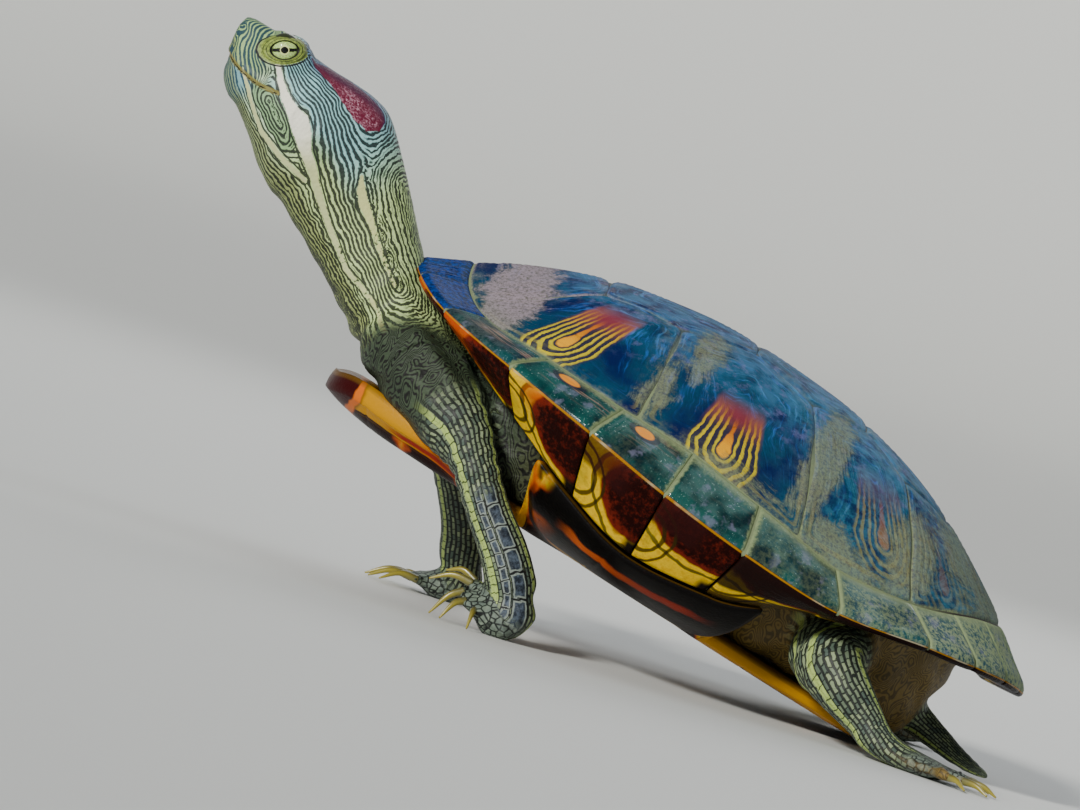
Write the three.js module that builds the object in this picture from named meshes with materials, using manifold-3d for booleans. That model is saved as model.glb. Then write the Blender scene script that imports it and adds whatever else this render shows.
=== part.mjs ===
// Red-eared slider (Trachemys scripta elegans), life size, basking: the front of the shell is
// propped up on the forelegs, the rear of the plastron rests on the floor, the neck is stretched
// up and forward. Millimetres, +Z up, head toward -X, the animal's left side toward -Y.
//
// The shell and the body in it are worked out in a frame of their own, level with the plastron:
// x runs back from the front edge of the carapace, y to the right, z up from the plastron.
// stand() then tips a point of that frame nose-up onto the floor.

import * as THREE from 'three';
import { mergeVertices } from 'three/addons/utils/BufferGeometryUtils.js';
import Module from 'manifold-3d';

const wasm = await Module();
wasm.setup();

// ---------------------------------------------------------------- driving dimensions

const GAP = 0.3; // between neighbouring pieces
const PITCH = THREE.MathUtils.degToRad(15); // nose-up tilt of the shell
const HEEL = 172; // how far back the plastron touches the floor

const SHELL_LENGTH = 200; // straight carapace length
const SHELL_HALF_WIDTH = 76;
const WIDEST_AT = 115; // distance behind the front edge
const APEX_AT = 95;
const APEX_HEIGHT = 75; // above the plastron's plane
const FLARE_FROM = 0.86; // share of the way from the apex to the rim where the marginals begin
const BONE = 4; // thickness of the shell wall
const RIM_EDGE = 1.8; // blunt edge of the marginal scutes
const BRIM = 12; // width of the marginals' underside
const WALL = 3; // width of the wall that rises from the brim's inner edge

const LOBE_FRONT = 98; // reach of the plastron's lobes from below the apex
const LOBE_REAR = 89;
const LOBE_HALF_WIDTH = 39;
const PLASTRON_THICKNESS = 5;
const GULAR_SWELL = 2.8; // how much thicker the plastron's front edge is
const ANAL_NOTCH = 4;

const EYE_RADIUS = 4.6;
const EYE = new THREE.Vector3(-60.8, 6.2, 73.5); // centre, in the shell's frame
const LID_RADIUS = 5.6;
const LID_CENTRE = new THREE.Vector3(-60.8, 4.6, 73.5);

const MOUTH_FRONT = new THREE.Vector3(-75, 0, 64.9); // mouth line, in the shell's frame
const MOUTH_CORNER = new THREE.Vector3(-56.4, 0, 62.6);

const RAYS = 36; // directions round the shell in which its rings are drawn

// ---------------------------------------------------------------- materials

const paint = (colour, roughness) => new THREE.MeshStandardMaterial({
  color: colour,
  roughness,
  metalness: 0,
});

const COLOURS = {
  carapace: ['#24506b', 0.3],
  plastron: ['#c79a1e', 0.35],
  skin: ['#8fa08c', 0.55],
  claw: ['#b9a04a', 0.35],
  eye: ['#b8b765', 0.1],
};

// ---------------------------------------------------------------- helpers

/** Smooth function of one number through a few [place, value] knots (cubic Hermite). */
function curve(knots) {
  const slope = knots.map((knot, i) => {
    const before = knots[Math.max(i - 1, 0)];
    const after = knots[Math.min(i + 1, knots.length - 1)];
    return (after[1] - before[1]) / (after[0] - before[0]);
  });
  return (x) => {
    let i = knots.findIndex((knot) => knot[0] > x) - 1;
    if (i < 0) i = x <= knots[0][0] ? 0 : knots.length - 2;
    const [x0, y0] = knots[i];
    const [x1, y1] = knots[i + 1];
    const step = x1 - x0;
    const t = THREE.MathUtils.clamp((x - x0) / step, 0, 1);
    const rise = y1 - y0;
    const bend = slope[i] * step - rise;
    const bendBack = rise - slope[i + 1] * step;
    return y0 + rise * t + t * (1 - t) * (bend * (1 - t) + bendBack * t);
  };
}

/** Rows of numbers, smoothly interpolated: t runs from 0 at the first row to 1 at the last. */
function rowsThrough(rows) {
  const columns = rows[0].map((_, c) => curve(rows.map((row, i) => [i, row[c]])));
  return (t) => columns.map((column) => column(t * (rows.length - 1)));
}

const smooth = (low, high, x) => THREE.MathUtils.smoothstep(x, low, high);

/** A point of the shell's frame, tipped nose-up so that the plastron's heel is on the floor. */
function stand(x, y, z) {
  return new THREE.Vector3(
    x * Math.cos(PITCH) + z * Math.sin(PITCH),
    y,
    (HEEL - x) * Math.sin(PITCH) + z * Math.cos(PITCH),
  );
}

/** Closed skin over rings of equally many points, each end drawn to one point. */
function skinOver(first, rings, last) {
  const count = rings[0].length;
  const points = [first, ...rings.flat(), last];
  const index = [];
  const at = (ring, k) => 1 + ring * count + (k % count);
  for (let k = 0; k < count; k += 1) {
    index.push(0, at(0, k + 1), at(0, k));
    for (let ring = 0; ring + 1 < rings.length; ring += 1) {
      const [a, b] = [at(ring, k), at(ring, k + 1)];
      const [c, d] = [at(ring + 1, k), at(ring + 1, k + 1)];
      index.push(a, b, c, b, d, c);
    }
    index.push(points.length - 1, at(rings.length - 1, k), at(rings.length - 1, k + 1));
  }
  const geometry = new THREE.BufferGeometry().setFromPoints(points);
  geometry.setIndex(index);
  return geometry;
}

/** Closed tube along stations of a centre, a half-depth vector and a half-width vector. */
function tube(stations, sides, frontCap, backCap, power = 2) {
  const round = (value) => Math.sign(value) * Math.abs(value) ** (2 / power);
  const ring = ({ centre, depth, width }, scale = 1) => Array.from({ length: sides }, (_, k) => {
    const angle = (2 * Math.PI * k) / sides;
    return centre.clone()
      .addScaledVector(depth, scale * round(Math.cos(angle)))
      .addScaledVector(width, scale * round(Math.sin(angle)));
  });
  const end = (station, neighbour, cap) => {
    const out = station.centre.clone().sub(neighbour.centre).normalize();
    const shifted = (share) => ({
      ...station,
      centre: station.centre.clone().addScaledVector(out, cap * share),
    });
    const domed = cap > 0 ? [ring(shifted(0.72), 0.68)] : [];
    return { domed, pole: shifted(1).centre };
  };
  const front = end(stations[0], stations[1], frontCap);
  const back = end(stations.at(-1), stations.at(-2), backCap);
  const body = stations.map((station) => ring(station));
  return skinOver(front.pole, [...front.domed, ...body, ...back.domed], back.pole);
}

/** Stations along a path of rows [x, y, z, halfDepth, halfWidth]; across is the width's way. */
function along(rows, steps, across) {
  const row = rowsThrough(rows);
  const centre = (t) => new THREE.Vector3(...row(t).slice(0, 3));
  return Array.from({ length: steps + 1 }, (_, i) => {
    const t = i / steps;
    const ahead = centre(Math.min(t + 0.01, 1)).sub(centre(Math.max(t - 0.01, 0))).normalize();
    const width = across.clone().addScaledVector(ahead, -across.dot(ahead)).normalize();
    const depth = ahead.clone().cross(width);
    const [, , , halfDepth, halfWidth] = row(t);
    return {
      centre: centre(t),
      depth: depth.multiplyScalar(halfDepth),
      width: width.multiplyScalar(halfWidth),
    };
  });
}

/** Geometry as a solid that can be joined and cut. */
function solid(geometry) {
  geometry.deleteAttribute('normal');
  geometry.deleteAttribute('uv');
  const merged = mergeVertices(geometry, 1e-4);
  const build = (flip) => {
    const triangles = Uint32Array.from(merged.index.array);
    for (let i = 0; flip && i < triangles.length; i += 3) {
      [triangles[i], triangles[i + 1]] = [triangles[i + 1], triangles[i]];
    }
    return new wasm.Manifold(new wasm.Mesh({
      numProp: 3,
      vertProperties: Float32Array.from(merged.attributes.position.array),
      triVerts: triangles,
    }));
  };
  const made = build(false);
  return made.volume() > 0 ? made : build(true);
}

/** A solid as geometry; only its largest piece is kept. */
function toGeometry(body) {
  const largest = body.decompose().reduce((a, b) => (a.volume() > b.volume() ? a : b));
  const mesh = largest.getMesh();
  const geometry = new THREE.BufferGeometry();
  geometry.setAttribute('position', new THREE.BufferAttribute(mesh.vertProperties, 3));
  geometry.setIndex(new THREE.BufferAttribute(mesh.triVerts, 1));
  geometry.computeVertexNormals();
  return geometry;
}

/** Box that fills the space on the side of a plane that its normal points to. */
function halfSpace(point, normal, start = 0, reach = 320) {
  const box = new THREE.BoxGeometry(reach, reach, reach);
  box.translate(0, 0, reach / 2 + start);
  const turn = new THREE.Quaternion().setFromUnitVectors(
    new THREE.Vector3(0, 0, 1),
    normal.clone().normalize(),
  );
  box.applyQuaternion(turn);
  box.translate(point.x, point.y, point.z);
  return solid(box);
}

/** Cuts a solid at a plane: [the piece the normal points to, the rest less the gap]. */
function part(body, point, normal) {
  return [
    body.intersect(halfSpace(point, normal, GAP / 2)),
    body.subtract(halfSpace(point, normal, -GAP / 2)),
  ];
}

/** A solid less each of the others. */
const clearOf = (body, others) => others.reduce((left, other) => left.subtract(other), body);

const underFloor = halfSpace(new THREE.Vector3(APEX_AT, 0, 0), new THREE.Vector3(0, 0, -1));
const onFloor = (body) => body.subtract(underFloor);

// ---------------------------------------------------------------- shell

/** Distance from the apex line to the rim at a ray, and the ray's direction in plan. */
function ray(angle) {
  const c = Math.cos(angle);
  const s = Math.sin(angle);
  const front = c > 0;
  const reach = front ? WIDEST_AT : SHELL_LENGTH - WIDEST_AT;
  const x = WIDEST_AT - Math.sign(c) * reach * Math.abs(c) ** (front ? 0.88 : 0.86);
  const y = -Math.sign(s) * SHELL_HALF_WIDTH * Math.abs(s) ** 0.97;
  const radius = Math.hypot(x - APEX_AT, y);
  return { radius, dx: (x - APEX_AT) / radius, dy: y / radius };
}

/** Degrees from the front of the shell, the same on both sides. */
const degrees = (angle) => THREE.MathUtils.radToDeg(Math.acos(Math.cos(angle)));

const rimHeight = curve([
  [0, 45.8], [11, 43.3], [28, 39], [48, 36], [65, 33],
  [78, 30], [92, 27.8], [105, 28], [125, 33], [150, 36], [180, 35],
]);

const brimDrop = curve([
  [0, 3], [24, 5], [48, 12], [63, 17.5], [77, 20], [90, 15], [103, 6], [118, 4], [180, 3],
]);

// How far the marginal scutes sink below the dome's round where they flare.
const flare = curve([
  [0, 1], [12, 5], [28, 6.7], [48, 4.5], [65, 2.7], [78, 0.4],
  [90, 1.4], [105, 4.4], [125, 5.4], [150, 1.8], [180, 0],
]);

/** Height of the dome at a share of the way from the apex to the rim. */
function dome(angle, share) {
  const c = Math.cos(angle);
  const power = 2.15 + (c > 0 ? 0 : 0.15) * c * c;
  const rim = rimHeight(degrees(angle));
  const sunk = smooth(0.5, FLARE_FROM, share) * Math.min(1, (1 - share) / (1 - FLARE_FROM));
  return rim + (APEX_HEIGHT - rim) * (1 - share ** power) - flare(degrees(angle)) * sunk;
}

/** 1 where the plastron is joined to the marginals by the bridge, 0 at the limbs' openings. */
const bridge = (angle) => smooth(50, 57, degrees(angle))
  * (1 - smooth(97, 104, degrees(angle)));

/** One ring round the shell: place() gives a radius and a height for each ray. */
function ringRound(place) {
  return Array.from({ length: RAYS }, (_, k) => {
    const angle = (2 * Math.PI * k) / RAYS;
    const { radius, dx, dy } = ray(angle);
    const [distance, height] = place(angle, radius);
    return stand(APEX_AT + dx * distance, dy * distance, height);
  });
}

/** Dome, blunt rim, the marginals' underside and the inside of the dome; grow thickens it. */
function carapace(grow = 0) {
  const seamHeight = (angle) => rimHeight(degrees(angle)) - brimDrop(degrees(angle));
  const inside = (radius) => radius - BRIM - WALL - grow;
  const rings = [
    ...[0.16, 0.32, 0.47, 0.61, 0.74, FLARE_FROM, 0.93].map((share) => ringRound(
      (angle, radius) => [radius * share, dome(angle, share) + grow],
    )),
    ringRound((angle, radius) => [radius + grow, rimHeight(degrees(angle)) + grow]),
    ringRound((angle, radius) => [radius + grow, rimHeight(degrees(angle)) - RIM_EDGE - grow]),
    ringRound((angle, radius) => {
      const rim = rimHeight(degrees(angle)) - RIM_EDGE;
      return [radius - BRIM * 0.42, rim + (seamHeight(angle) - rim) * 0.5 - grow];
    }),
    ringRound((angle, radius) => [radius - BRIM, seamHeight(angle) - grow]),
    ringRound((angle, radius) => [inside(radius), seamHeight(angle) - grow]),
    ...[1, 0.75, 0.5, 0.25].map((share) => ringRound((angle, radius) => {
      const distance = inside(radius) * share;
      return [distance, dome(angle, distance / radius) - BONE - grow];
    })),
  ];
  const top = stand(APEX_AT, 0, APEX_HEIGHT + grow);
  const underTop = stand(APEX_AT, 0, APEX_HEIGHT - BONE - grow);
  return solid(skinOver(top, rings, underTop));
}

/** Distance from below the apex to the edge of the plastron's lobes. */
function lobeReach(angle) {
  const { dx, dy } = ray(angle);
  const length = dx < 0 ? LOBE_FRONT : LOBE_REAR;
  const power = 2.8;
  const oval = ((Math.abs(dx) / length) ** power + (Math.abs(dy) / LOBE_HALF_WIDTH) ** power)
    ** (-1 / power);
  return oval - ANAL_NOTCH * Math.exp(-(((180 - degrees(angle)) / 5) ** 2));
}

/** Two lobes and the bridges that rise to the marginals' underside; grow thickens it. */
function plastron(grow = 0) {
  const mix = (angle, lobe, wing) => lobe + (wing - lobe) * bridge(angle);
  const seam = (angle) => rimHeight(degrees(angle)) - brimDrop(degrees(angle)) - GAP;
  const edge = (angle, radius) => mix(angle, lobeReach(angle), radius - BRIM) + grow;
  const upturn = (angle, distance) => {
    const x = APEX_AT + ray(angle).dx * distance;
    return 0.004 * Math.max(20 - x, 0) ** 2;
  };
  const lobeTop = (angle, distance) => {
    const x = APEX_AT + ray(angle).dx * distance;
    return PLASTRON_THICKNESS + GULAR_SWELL * (1 - smooth(12, 42, x));
  };
  const below = (share) => ringRound((angle, radius) => {
    const distance = edge(angle, radius) * share;
    const rise = mix(angle, 1.8 * share ** 20, (seam(angle) - RIM_EDGE) * share ** 6);
    return [distance, rise + upturn(angle, distance) - grow];
  });
  const above = (share) => ringRound((angle, radius) => {
    const distance = (edge(angle, radius) - mix(angle, 0, WALL)) * share;
    const lobe = lobeTop(angle, distance) - 1.8 * share ** 20;
    const wing = PLASTRON_THICKNESS + (seam(angle) - PLASTRON_THICKNESS) * share ** 9;
    return [distance, mix(angle, lobe, wing) + upturn(angle, distance) + grow];
  });
  const lip = ringRound((angle, radius) => {
    const distance = edge(angle, radius);
    const height = mix(angle, lobeTop(angle, distance) - 2.2, seam(angle));
    return [distance, height + upturn(angle, distance) + grow];
  });
  const outside = [0.3, 0.55, 0.75, 0.86, 0.94, 1].map(below);
  const inside = [0.98, 0.9, 0.75, 0.4].map(above);
  return solid(skinOver(
    stand(APEX_AT, 0, -grow),
    [...outside, lip, ...inside],
    stand(APEX_AT, 0, PLASTRON_THICKNESS + grow),
  ));
}

// ---------------------------------------------------------------- soft body

const SLACK = 1; // between the body and the inside of the shell

/** The body inside the shell: it fills it to the skin seen in the limbs' openings. */
function trunk(grow = 0) {
  const reach = (angle, radius) => radius - BRIM - WALL - SLACK + grow
    - 5 * (1 - bridge(angle)) * Math.sin(angle) ** 2 - 9 * smooth(0.6, 1, Math.cos(angle));
  const foot = (angle, radius) => Math.min(reach(angle, radius), lobeReach(angle) - 5);
  const ceiling = (share) => ringRound((angle, radius) => {
    const distance = reach(angle, radius) * share;
    return [distance, dome(angle, distance / radius) - BONE - SLACK + grow];
  });
  const ground = (share) => ringRound((angle, radius) => {
    const distance = foot(angle, radius) * share;
    return [distance, PLASTRON_THICKNESS + SLACK - grow];
  });
  const waist = ringRound((angle, radius) => {
    const distance = (reach(angle, radius) + foot(angle, radius)) / 2;
    return [distance, 0.55 * dome(angle, distance / radius) - 8 * bridge(angle)];
  });
  return solid(skinOver(
    stand(APEX_AT, 0, APEX_HEIGHT - BONE - SLACK + grow),
    [ceiling(0.4), ceiling(0.7), ceiling(0.97), waist, ground(1), ground(0.5)],
    stand(APEX_AT, 0, PLASTRON_THICKNESS + SLACK - grow),
  ));
}

// Head and neck, from the snout back into the shell, in the shell's frame: distance back, height,
// lean of the section in degrees from upright, half-depth, half-width.
const NECK_ROWS = [
  [-73.3, 70.7, 0, 5.6, 3.4],
  [-70.7, 67.9, 4, 8.6, 5.6],
  [-66.8, 66.0, 4, 10.6, 7.4],
  [-61.5, 65.1, 8, 11.7, 9.2],
  [-50.9, 61.5, 13, 14.9, 12.6],
  [-44.7, 59.4, 15, 17.3, 13.8],
  [-38.3, 57.8, 18, 18.7, 14],
  [-32.6, 55.6, 21, 18.5, 13.4],
  [-21.0, 47.3, 25, 16.2, 12.4],
  [-8.8, 37.9, 27, 13.8, 13.8],
  [0.3, 30.9, 30, 12.6, 15.5],
  [11.2, 26.3, 30, 13, 18],
  [26, 23, 24, 13.5, 21],
];

/** Head and neck in one; grow thickens them. */
function headAndNeck(grow = 0) {
  const row = rowsThrough(NECK_ROWS);
  const steps = 22;
  const stations = Array.from({ length: steps + 1 }, (_, i) => {
    const [x, z, lean, halfDepth, halfWidth] = row(i / steps);
    const tilt = THREE.MathUtils.degToRad(lean);
    const origin = stand(x, 0, z);
    const up = stand(x + Math.sin(tilt), 0, z + Math.cos(tilt)).sub(origin);
    return {
      centre: origin,
      depth: up.multiplyScalar(halfDepth + grow),
      width: new THREE.Vector3(0, halfWidth + grow, 0),
    };
  });
  return solid(tube(stations, 14, 2.2, 4, 2.3));
}

/** Ball in the head, on the side (-1 left, 1 right) of the animal. */
function ball(centre, side, radius) {
  const sphere = new THREE.SphereGeometry(radius, 11, 8);
  const place = stand(centre.x, side * centre.y, centre.z);
  sphere.rotateX(Math.PI / 2);
  sphere.translate(place.x, place.y, place.z);
  return solid(sphere);
}

/** Curved, tapering claw from a flat base at the end of a toe; grow thickens and lengthens it. */
function claw(base, tip, arch, radius, grow = 0) {
  const way = tip.clone().sub(base);
  const from = base.clone().addScaledVector(way.clone().normalize(), -grow);
  const middle = from.clone().lerp(tip, 0.5);
  middle.z += arch;
  const rows = [
    [...from.toArray(), radius + grow, radius * 0.8 + grow],
    [...middle.toArray(), radius * 0.72 + grow, radius * 0.6 + grow],
    [...tip.toArray(), 0.3 + grow, 0.3 + grow],
  ];
  const across = new THREE.Vector3(-way.y, way.x, 0).normalize();
  return solid(tube(along(rows, 3, across), 5, 0, 0));
}

/** Toe from the foot's front to the claw's base. */
function toe(root, base, radius) {
  const way = base.clone().sub(root);
  const middle = root.clone().lerp(base, 0.55);
  middle.z += 0.8;
  const rows = [
    [...root.toArray(), radius * 1.15, radius * 1.3],
    [...middle.toArray(), radius * 1.1, radius * 1.15],
    [...base.toArray(), radius, radius],
  ];
  const across = new THREE.Vector3(-way.y, way.x, 0).normalize();
  return solid(tube(along(rows, 2, across), 5, 0, 0));
}

/**
 * A leg. path is rows [x, y, z, halfDepth, halfWidth] from inside the body to the ankle, in the
 * frame of the floor; foot is such rows from heel to toe roots; toes is rows of the place of the
 * claw's base and its tip; cuts are places on the path where it is parted.
 */
function leg({ side, path, foot, footAcross, toes, toeRadius, clawArch, shin, ankle }, body) {
  const flip = (v) => new THREE.Vector3(v[0], v[1] * side, v[2]);
  const flipRows = (rows) => rows.map(([x, y, z, ...rest]) => [x, y * side, z, ...rest]);
  const across = new THREE.Vector3(0.35, side, 0).normalize();
  const limb = solid(tube(along(flipRows(path), 7, across), 9, 2, 3));
  const pawAcross = flip(footAcross).normalize();
  const pawStations = along(flipRows(foot), 3, pawAcross);
  const front = pawStations.at(-1);
  let paw = limb.add(solid(tube(pawStations, 8, 2.5, 1, 2.3)));
  toes.forEach(([base], i) => {
    const spread = (2 * i) / (toes.length - 1) - 1;
    const root = front.centre.clone().addScaledVector(front.width, spread * 0.72);
    paw = paw.add(toe(root, flip(base), toeRadius));
  });
  const nails = (grow) => toes.map(
    ([base, tip]) => onFloor(claw(flip(base), flip(tip), clawArch, toeRadius * 0.82, grow)),
  );
  const whole = onFloor(clearOf(paw, [...body, ...nails(GAP)]));
  const [footPiece, above] = part(whole, flip(ankle.at), flip(ankle.way));
  const [shinPiece, thighPiece] = part(above, flip(shin.at), flip(shin.way));
  return { thigh: thighPiece, shin: shinPiece, foot: footPiece, claws: nails(0) };
}

/** Floor-frame row of a leg's path, from a place in the shell's frame. */
const fromShell = (x, y, z, depth, width) => [...stand(x, y, z).toArray(), depth, width];

const FORELEG_LEFT = {
  side: -1,
  path: [
    fromShell(22, 24, 19, 9, 9),
    fromShell(33, 38, 14.5, 8, 8),
    fromShell(41, 44.5, 8, 6.6, 6.4),
    fromShell(50, 47, 0, 6.3, 6.2),
    fromShell(60, 48.5, -7.5, 6.8, 6.6),
    [61, 49, 12.8, 7.4, 7],
  ],
  foot: [
    [65.5, 49, 9.8, 5, 6.5],
    [61.5, 49, 5.2, 5.6, 8.6],
    [55.5, 49, 5.4, 4.6, 8.8],
  ],
  footAcross: [-0.1, 1, -0.32],
  toes: [
    [[50.6, 40.5, 12], [43, 38, 12.4]],
    [[49.8, 43.5, 11.2], [39.2, 42, 9.2]],
    [[48.4, 48.6, 8.4], [41.6, 49.5, 0.7]],
    [[49.4, 52.6, 6.2], [44.5, 55.5, 0.6]],
    [[52.6, 56.2, 4.6], [52, 61, 0.3]],
  ],
  toeRadius: 1.75,
  clawArch: 1.7,
  shin: { at: stand(43, 45, 6).toArray(), way: [0.75, 0.2, -0.62] },
  ankle: { at: [61.5, 49, 14.5], way: [0.05, 0, -1] },
};

const FORELEG_RIGHT = {
  side: 1,
  path: [
    fromShell(20, 24, 19, 9, 9),
    fromShell(30, 38, 14, 8, 8),
    fromShell(36, 45, 6, 6.6, 6.4),
    [42, 50, 31, 6.3, 6.2],
    [47, 53, 21, 6.8, 6.6],
    [49, 54, 13, 7.2, 7],
  ],
  foot: [
    [53.5, 54, 9, 4.6, 6.4],
    [49, 54.2, 4.4, 4.8, 8.6],
    [42.5, 54.6, 3.4, 3.8, 9],
  ],
  footAcross: [-0.12, 1, 0],
  toes: [
    [[38, 46, 3.4], [28.5, 43, 1]],
    [[36.4, 50, 3.4], [25.5, 48.4, 0.7]],
    [[36, 54.8, 3.4], [24.6, 55, 0.7]],
    [[36.8, 59.4, 3.3], [26, 61.6, 0.7]],
    [[39.6, 63.4, 3.2], [31, 67.4, 0.9]],
  ],
  toeRadius: 1.75,
  clawArch: 1.7,
  shin: { at: stand(37.5, 46, 4).toArray(), way: [0.45, 0.2, -0.9] },
  ankle: { at: [49, 54, 14], way: [0.05, 0, -1] },
};

const HIND_LEG = {
  path: [
    fromShell(150, 22, 20, 10, 11),
    fromShell(148, 40, 18, 10, 11),
    fromShell(147, 54, 15, 9, 10.5),
    fromShell(153, 62, 11.5, 8, 8.6),
    fromShell(162, 65.5, 7.5, 5.8, 6.8),
    [163, 67.5, 6.4, 4.4, 6.2],
  ],
  foot: [
    [161, 66.6, 6, 4.4, 6.6],
    [170, 70, 3.3, 3.5, 8.6],
    [181, 74.6, 2.2, 2.5, 10.4],
  ],
  footAcross: [-0.42, 1, 0],
  toes: [
    [[189.5, 70.2, 2.2], [196, 70.4, 0.6]],
    [[190.5, 76.2, 2.2], [197.4, 78.2, 0.6]],
    [[188.2, 82, 2.2], [194.2, 86.2, 0.6]],
    [[183.4, 86.6, 2.2], [187.6, 92.2, 0.6]],
  ],
  toeRadius: 1.7,
  clawArch: 0.8,
  shin: { at: stand(150, 57, 13.5).toArray(), way: [0.75, 0.65, -0.1] },
  ankle: { at: [164.5, 68, 5], way: [1, 0.4, 0] },
};

const TAIL_ROWS = [
  fromShell(156, 0, 18, 8, 8),
  fromShell(170, -1, 15, 6.4, 6.8),
  [181, -4, 9, 4.4, 4.8],
  [191, -8, 4.4, 3, 3.3],
  [200, -13, 1.6, 1.8, 2],
];

// ---------------------------------------------------------------- assembly

const turtle = new THREE.Group();

function add(name, body, look) {
  const [colour, roughness] = COLOURS[look];
  const mesh = new THREE.Mesh(toGeometry(body), paint(colour, roughness));
  mesh.name = name;
  turtle.add(mesh);
}

const shell = [carapace(GAP), plastron(GAP)];
const neighbours = [...shell, trunk(GAP)];

add('carapace', carapace(), 'carapace');
add('plastron', onFloor(plastron()), 'plastron');
add('trunk', clearOf(trunk(), shell), 'skin');

// Head and neck: lids bulge round the eyes, then the jaw, the head and two lengths of neck part.
const sides = [['left', -1], ['right', 1]];
let neck = headAndNeck();
for (const [, side] of sides) neck = neck.add(ball(LID_CENTRE, side, LID_RADIUS));
for (const [, side] of sides) neck = neck.subtract(ball(EYE, side, EYE_RADIUS + GAP));
neck = clearOf(neck, neighbours);

const neckWay = new THREE.Vector3(-0.62, 0, 0.78);
const [head, neckAll] = part(neck, stand(-33, 0, 55), new THREE.Vector3(-0.86, 0, 0.5));
const [neckUpper, neckBase] = part(neckAll, stand(-13, 0, 41), neckWay);

const mouthFront = stand(...MOUTH_FRONT.toArray());
const mouthCorner = stand(...MOUTH_CORNER.toArray());
const mouthWay = mouthFront.clone().sub(mouthCorner).normalize();
const mouthDown = new THREE.Vector3(0, 1, 0).cross(mouthWay).normalize();
if (mouthDown.z > 0) mouthDown.negate();
const jawSpace = (grow) => halfSpace(mouthCorner, mouthDown, -grow)
  .intersect(halfSpace(mouthCorner, mouthWay, -grow));

add('head', head.subtract(jawSpace(GAP / 2)), 'skin');
add('lower_jaw', head.intersect(jawSpace(-GAP / 2)), 'skin');
add('neck_upper', neckUpper, 'skin');
add('neck_base', neckBase, 'skin');
for (const [name, side] of sides) add(`eye_${name}`, ball(EYE, side, EYE_RADIUS), 'eye');

const aroundLegs = [...neighbours, headAndNeck(GAP)];
const legs = [
  ['foreleg_left', FORELEG_LEFT],
  ['foreleg_right', FORELEG_RIGHT],
  ['hindleg_left', { ...HIND_LEG, side: -1 }],
  ['hindleg_right', { ...HIND_LEG, side: 1 }],
];
for (const [name, shape] of legs) {
  const { thigh, shin, foot, claws } = leg(shape, aroundLegs);
  const fore = name.startsWith('fore');
  add(`${name}_${fore ? 'upper_arm' : 'thigh'}`, thigh, 'skin');
  add(`${name}_${fore ? 'forearm' : 'shank'}`, shin, 'skin');
  add(`${name}_foot`, foot, 'skin');
  claws.forEach((nail, i) => add(`${name}_claw_${i + 1}`, nail, 'claw'));
}

const tail = solid(tube(along(TAIL_ROWS, 8, new THREE.Vector3(0, 1, 0)), 12, 2, 1.5));
add('tail', onFloor(clearOf(tail, neighbours)), 'skin');

// The origin is under the middle of the model's box, on the floor.
const box = new THREE.Box3().setFromObject(turtle);
const middle = box.getCenter(new THREE.Vector3());
turtle.position.set(-middle.x, -middle.y, -box.min.z);
turtle.updateMatrixWorld(true);

export default turtle;
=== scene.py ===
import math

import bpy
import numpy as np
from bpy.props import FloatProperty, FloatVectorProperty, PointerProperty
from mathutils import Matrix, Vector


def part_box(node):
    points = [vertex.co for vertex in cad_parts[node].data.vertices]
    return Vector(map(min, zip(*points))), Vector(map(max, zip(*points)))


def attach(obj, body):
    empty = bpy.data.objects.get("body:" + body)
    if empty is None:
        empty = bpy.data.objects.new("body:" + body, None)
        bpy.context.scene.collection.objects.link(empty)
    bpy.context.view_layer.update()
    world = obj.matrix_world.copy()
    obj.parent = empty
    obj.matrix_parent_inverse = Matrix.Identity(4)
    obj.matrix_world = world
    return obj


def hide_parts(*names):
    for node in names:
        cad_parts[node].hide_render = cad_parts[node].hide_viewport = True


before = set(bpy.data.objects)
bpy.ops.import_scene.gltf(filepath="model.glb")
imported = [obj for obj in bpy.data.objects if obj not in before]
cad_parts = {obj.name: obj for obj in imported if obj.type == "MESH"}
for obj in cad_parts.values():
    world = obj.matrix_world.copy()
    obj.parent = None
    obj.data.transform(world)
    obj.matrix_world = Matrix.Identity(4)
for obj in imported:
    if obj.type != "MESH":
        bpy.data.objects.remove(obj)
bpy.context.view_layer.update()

# Red-eared slider (Trachemys scripta elegans), life size, as a still model: the shell's scutes
# are plates on a closed base, one skin covers head, neck, limbs and tail, and eyes and claws
# are pieces of their own. Shapes are worked out in millimetres. The shell and the body in it
# have a frame of their own, level with the plastron: x runs back from the carapace's front
# edge, y to the animal's right, z up from the plastron. stand() tips it nose-up.

bl_info = {
    "name": "Red-eared slider, still model",
    "version": (1, 0, 0),
    "blender": (4, 5, 0),
    "location": "View3D > Sidebar > Slider",
    "description": "Builds the shell, skin, eyes, claws and stage of a life-size slider turtle",
    "category": "Add Mesh",
}

MM = 0.001
SIDES = (("left", -1), ("right", 1))

# ---- driving dimensions, mm

TILT = math.radians(15)  # nose-up tilt of the shell
HEEL = 172  # how far back the plastron touches the floor
SHELL_LENGTH = 200
SHELL_HALF_WIDTH = 76
WIDEST_AT = 115
APEX_AT = 95
APEX_HEIGHT = 75
FLARE_FROM = 0.86  # share of the way from the apex to the rim where the marginals begin
BONE = 4
RIM_EDGE = 1.8
BRIM = 12
WALL = 3
LOBE_FRONT = 98
LOBE_REAR = 89
LOBE_HALF_WIDTH = 39
PLASTRON_THICKNESS = 5
GULAR_SWELL = 2.8  # how much thicker the plastron's front edge is
ANAL_NOTCH = 4
SLACK = 1
SEAM_DEPTH = 0.35  # how far the shell under the scutes is sunk
ROOT = 1.6  # how far the scutes reach into the shell

EYE = (-60.8, 6.2, 73.5)
EYE_TILT = math.radians(17.6)  # of the eye's long axis, from level
LID_OPENING = (3.5, 2.55)  # half-length and half-height
LID_RING = (6.9, 4.4)

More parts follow.
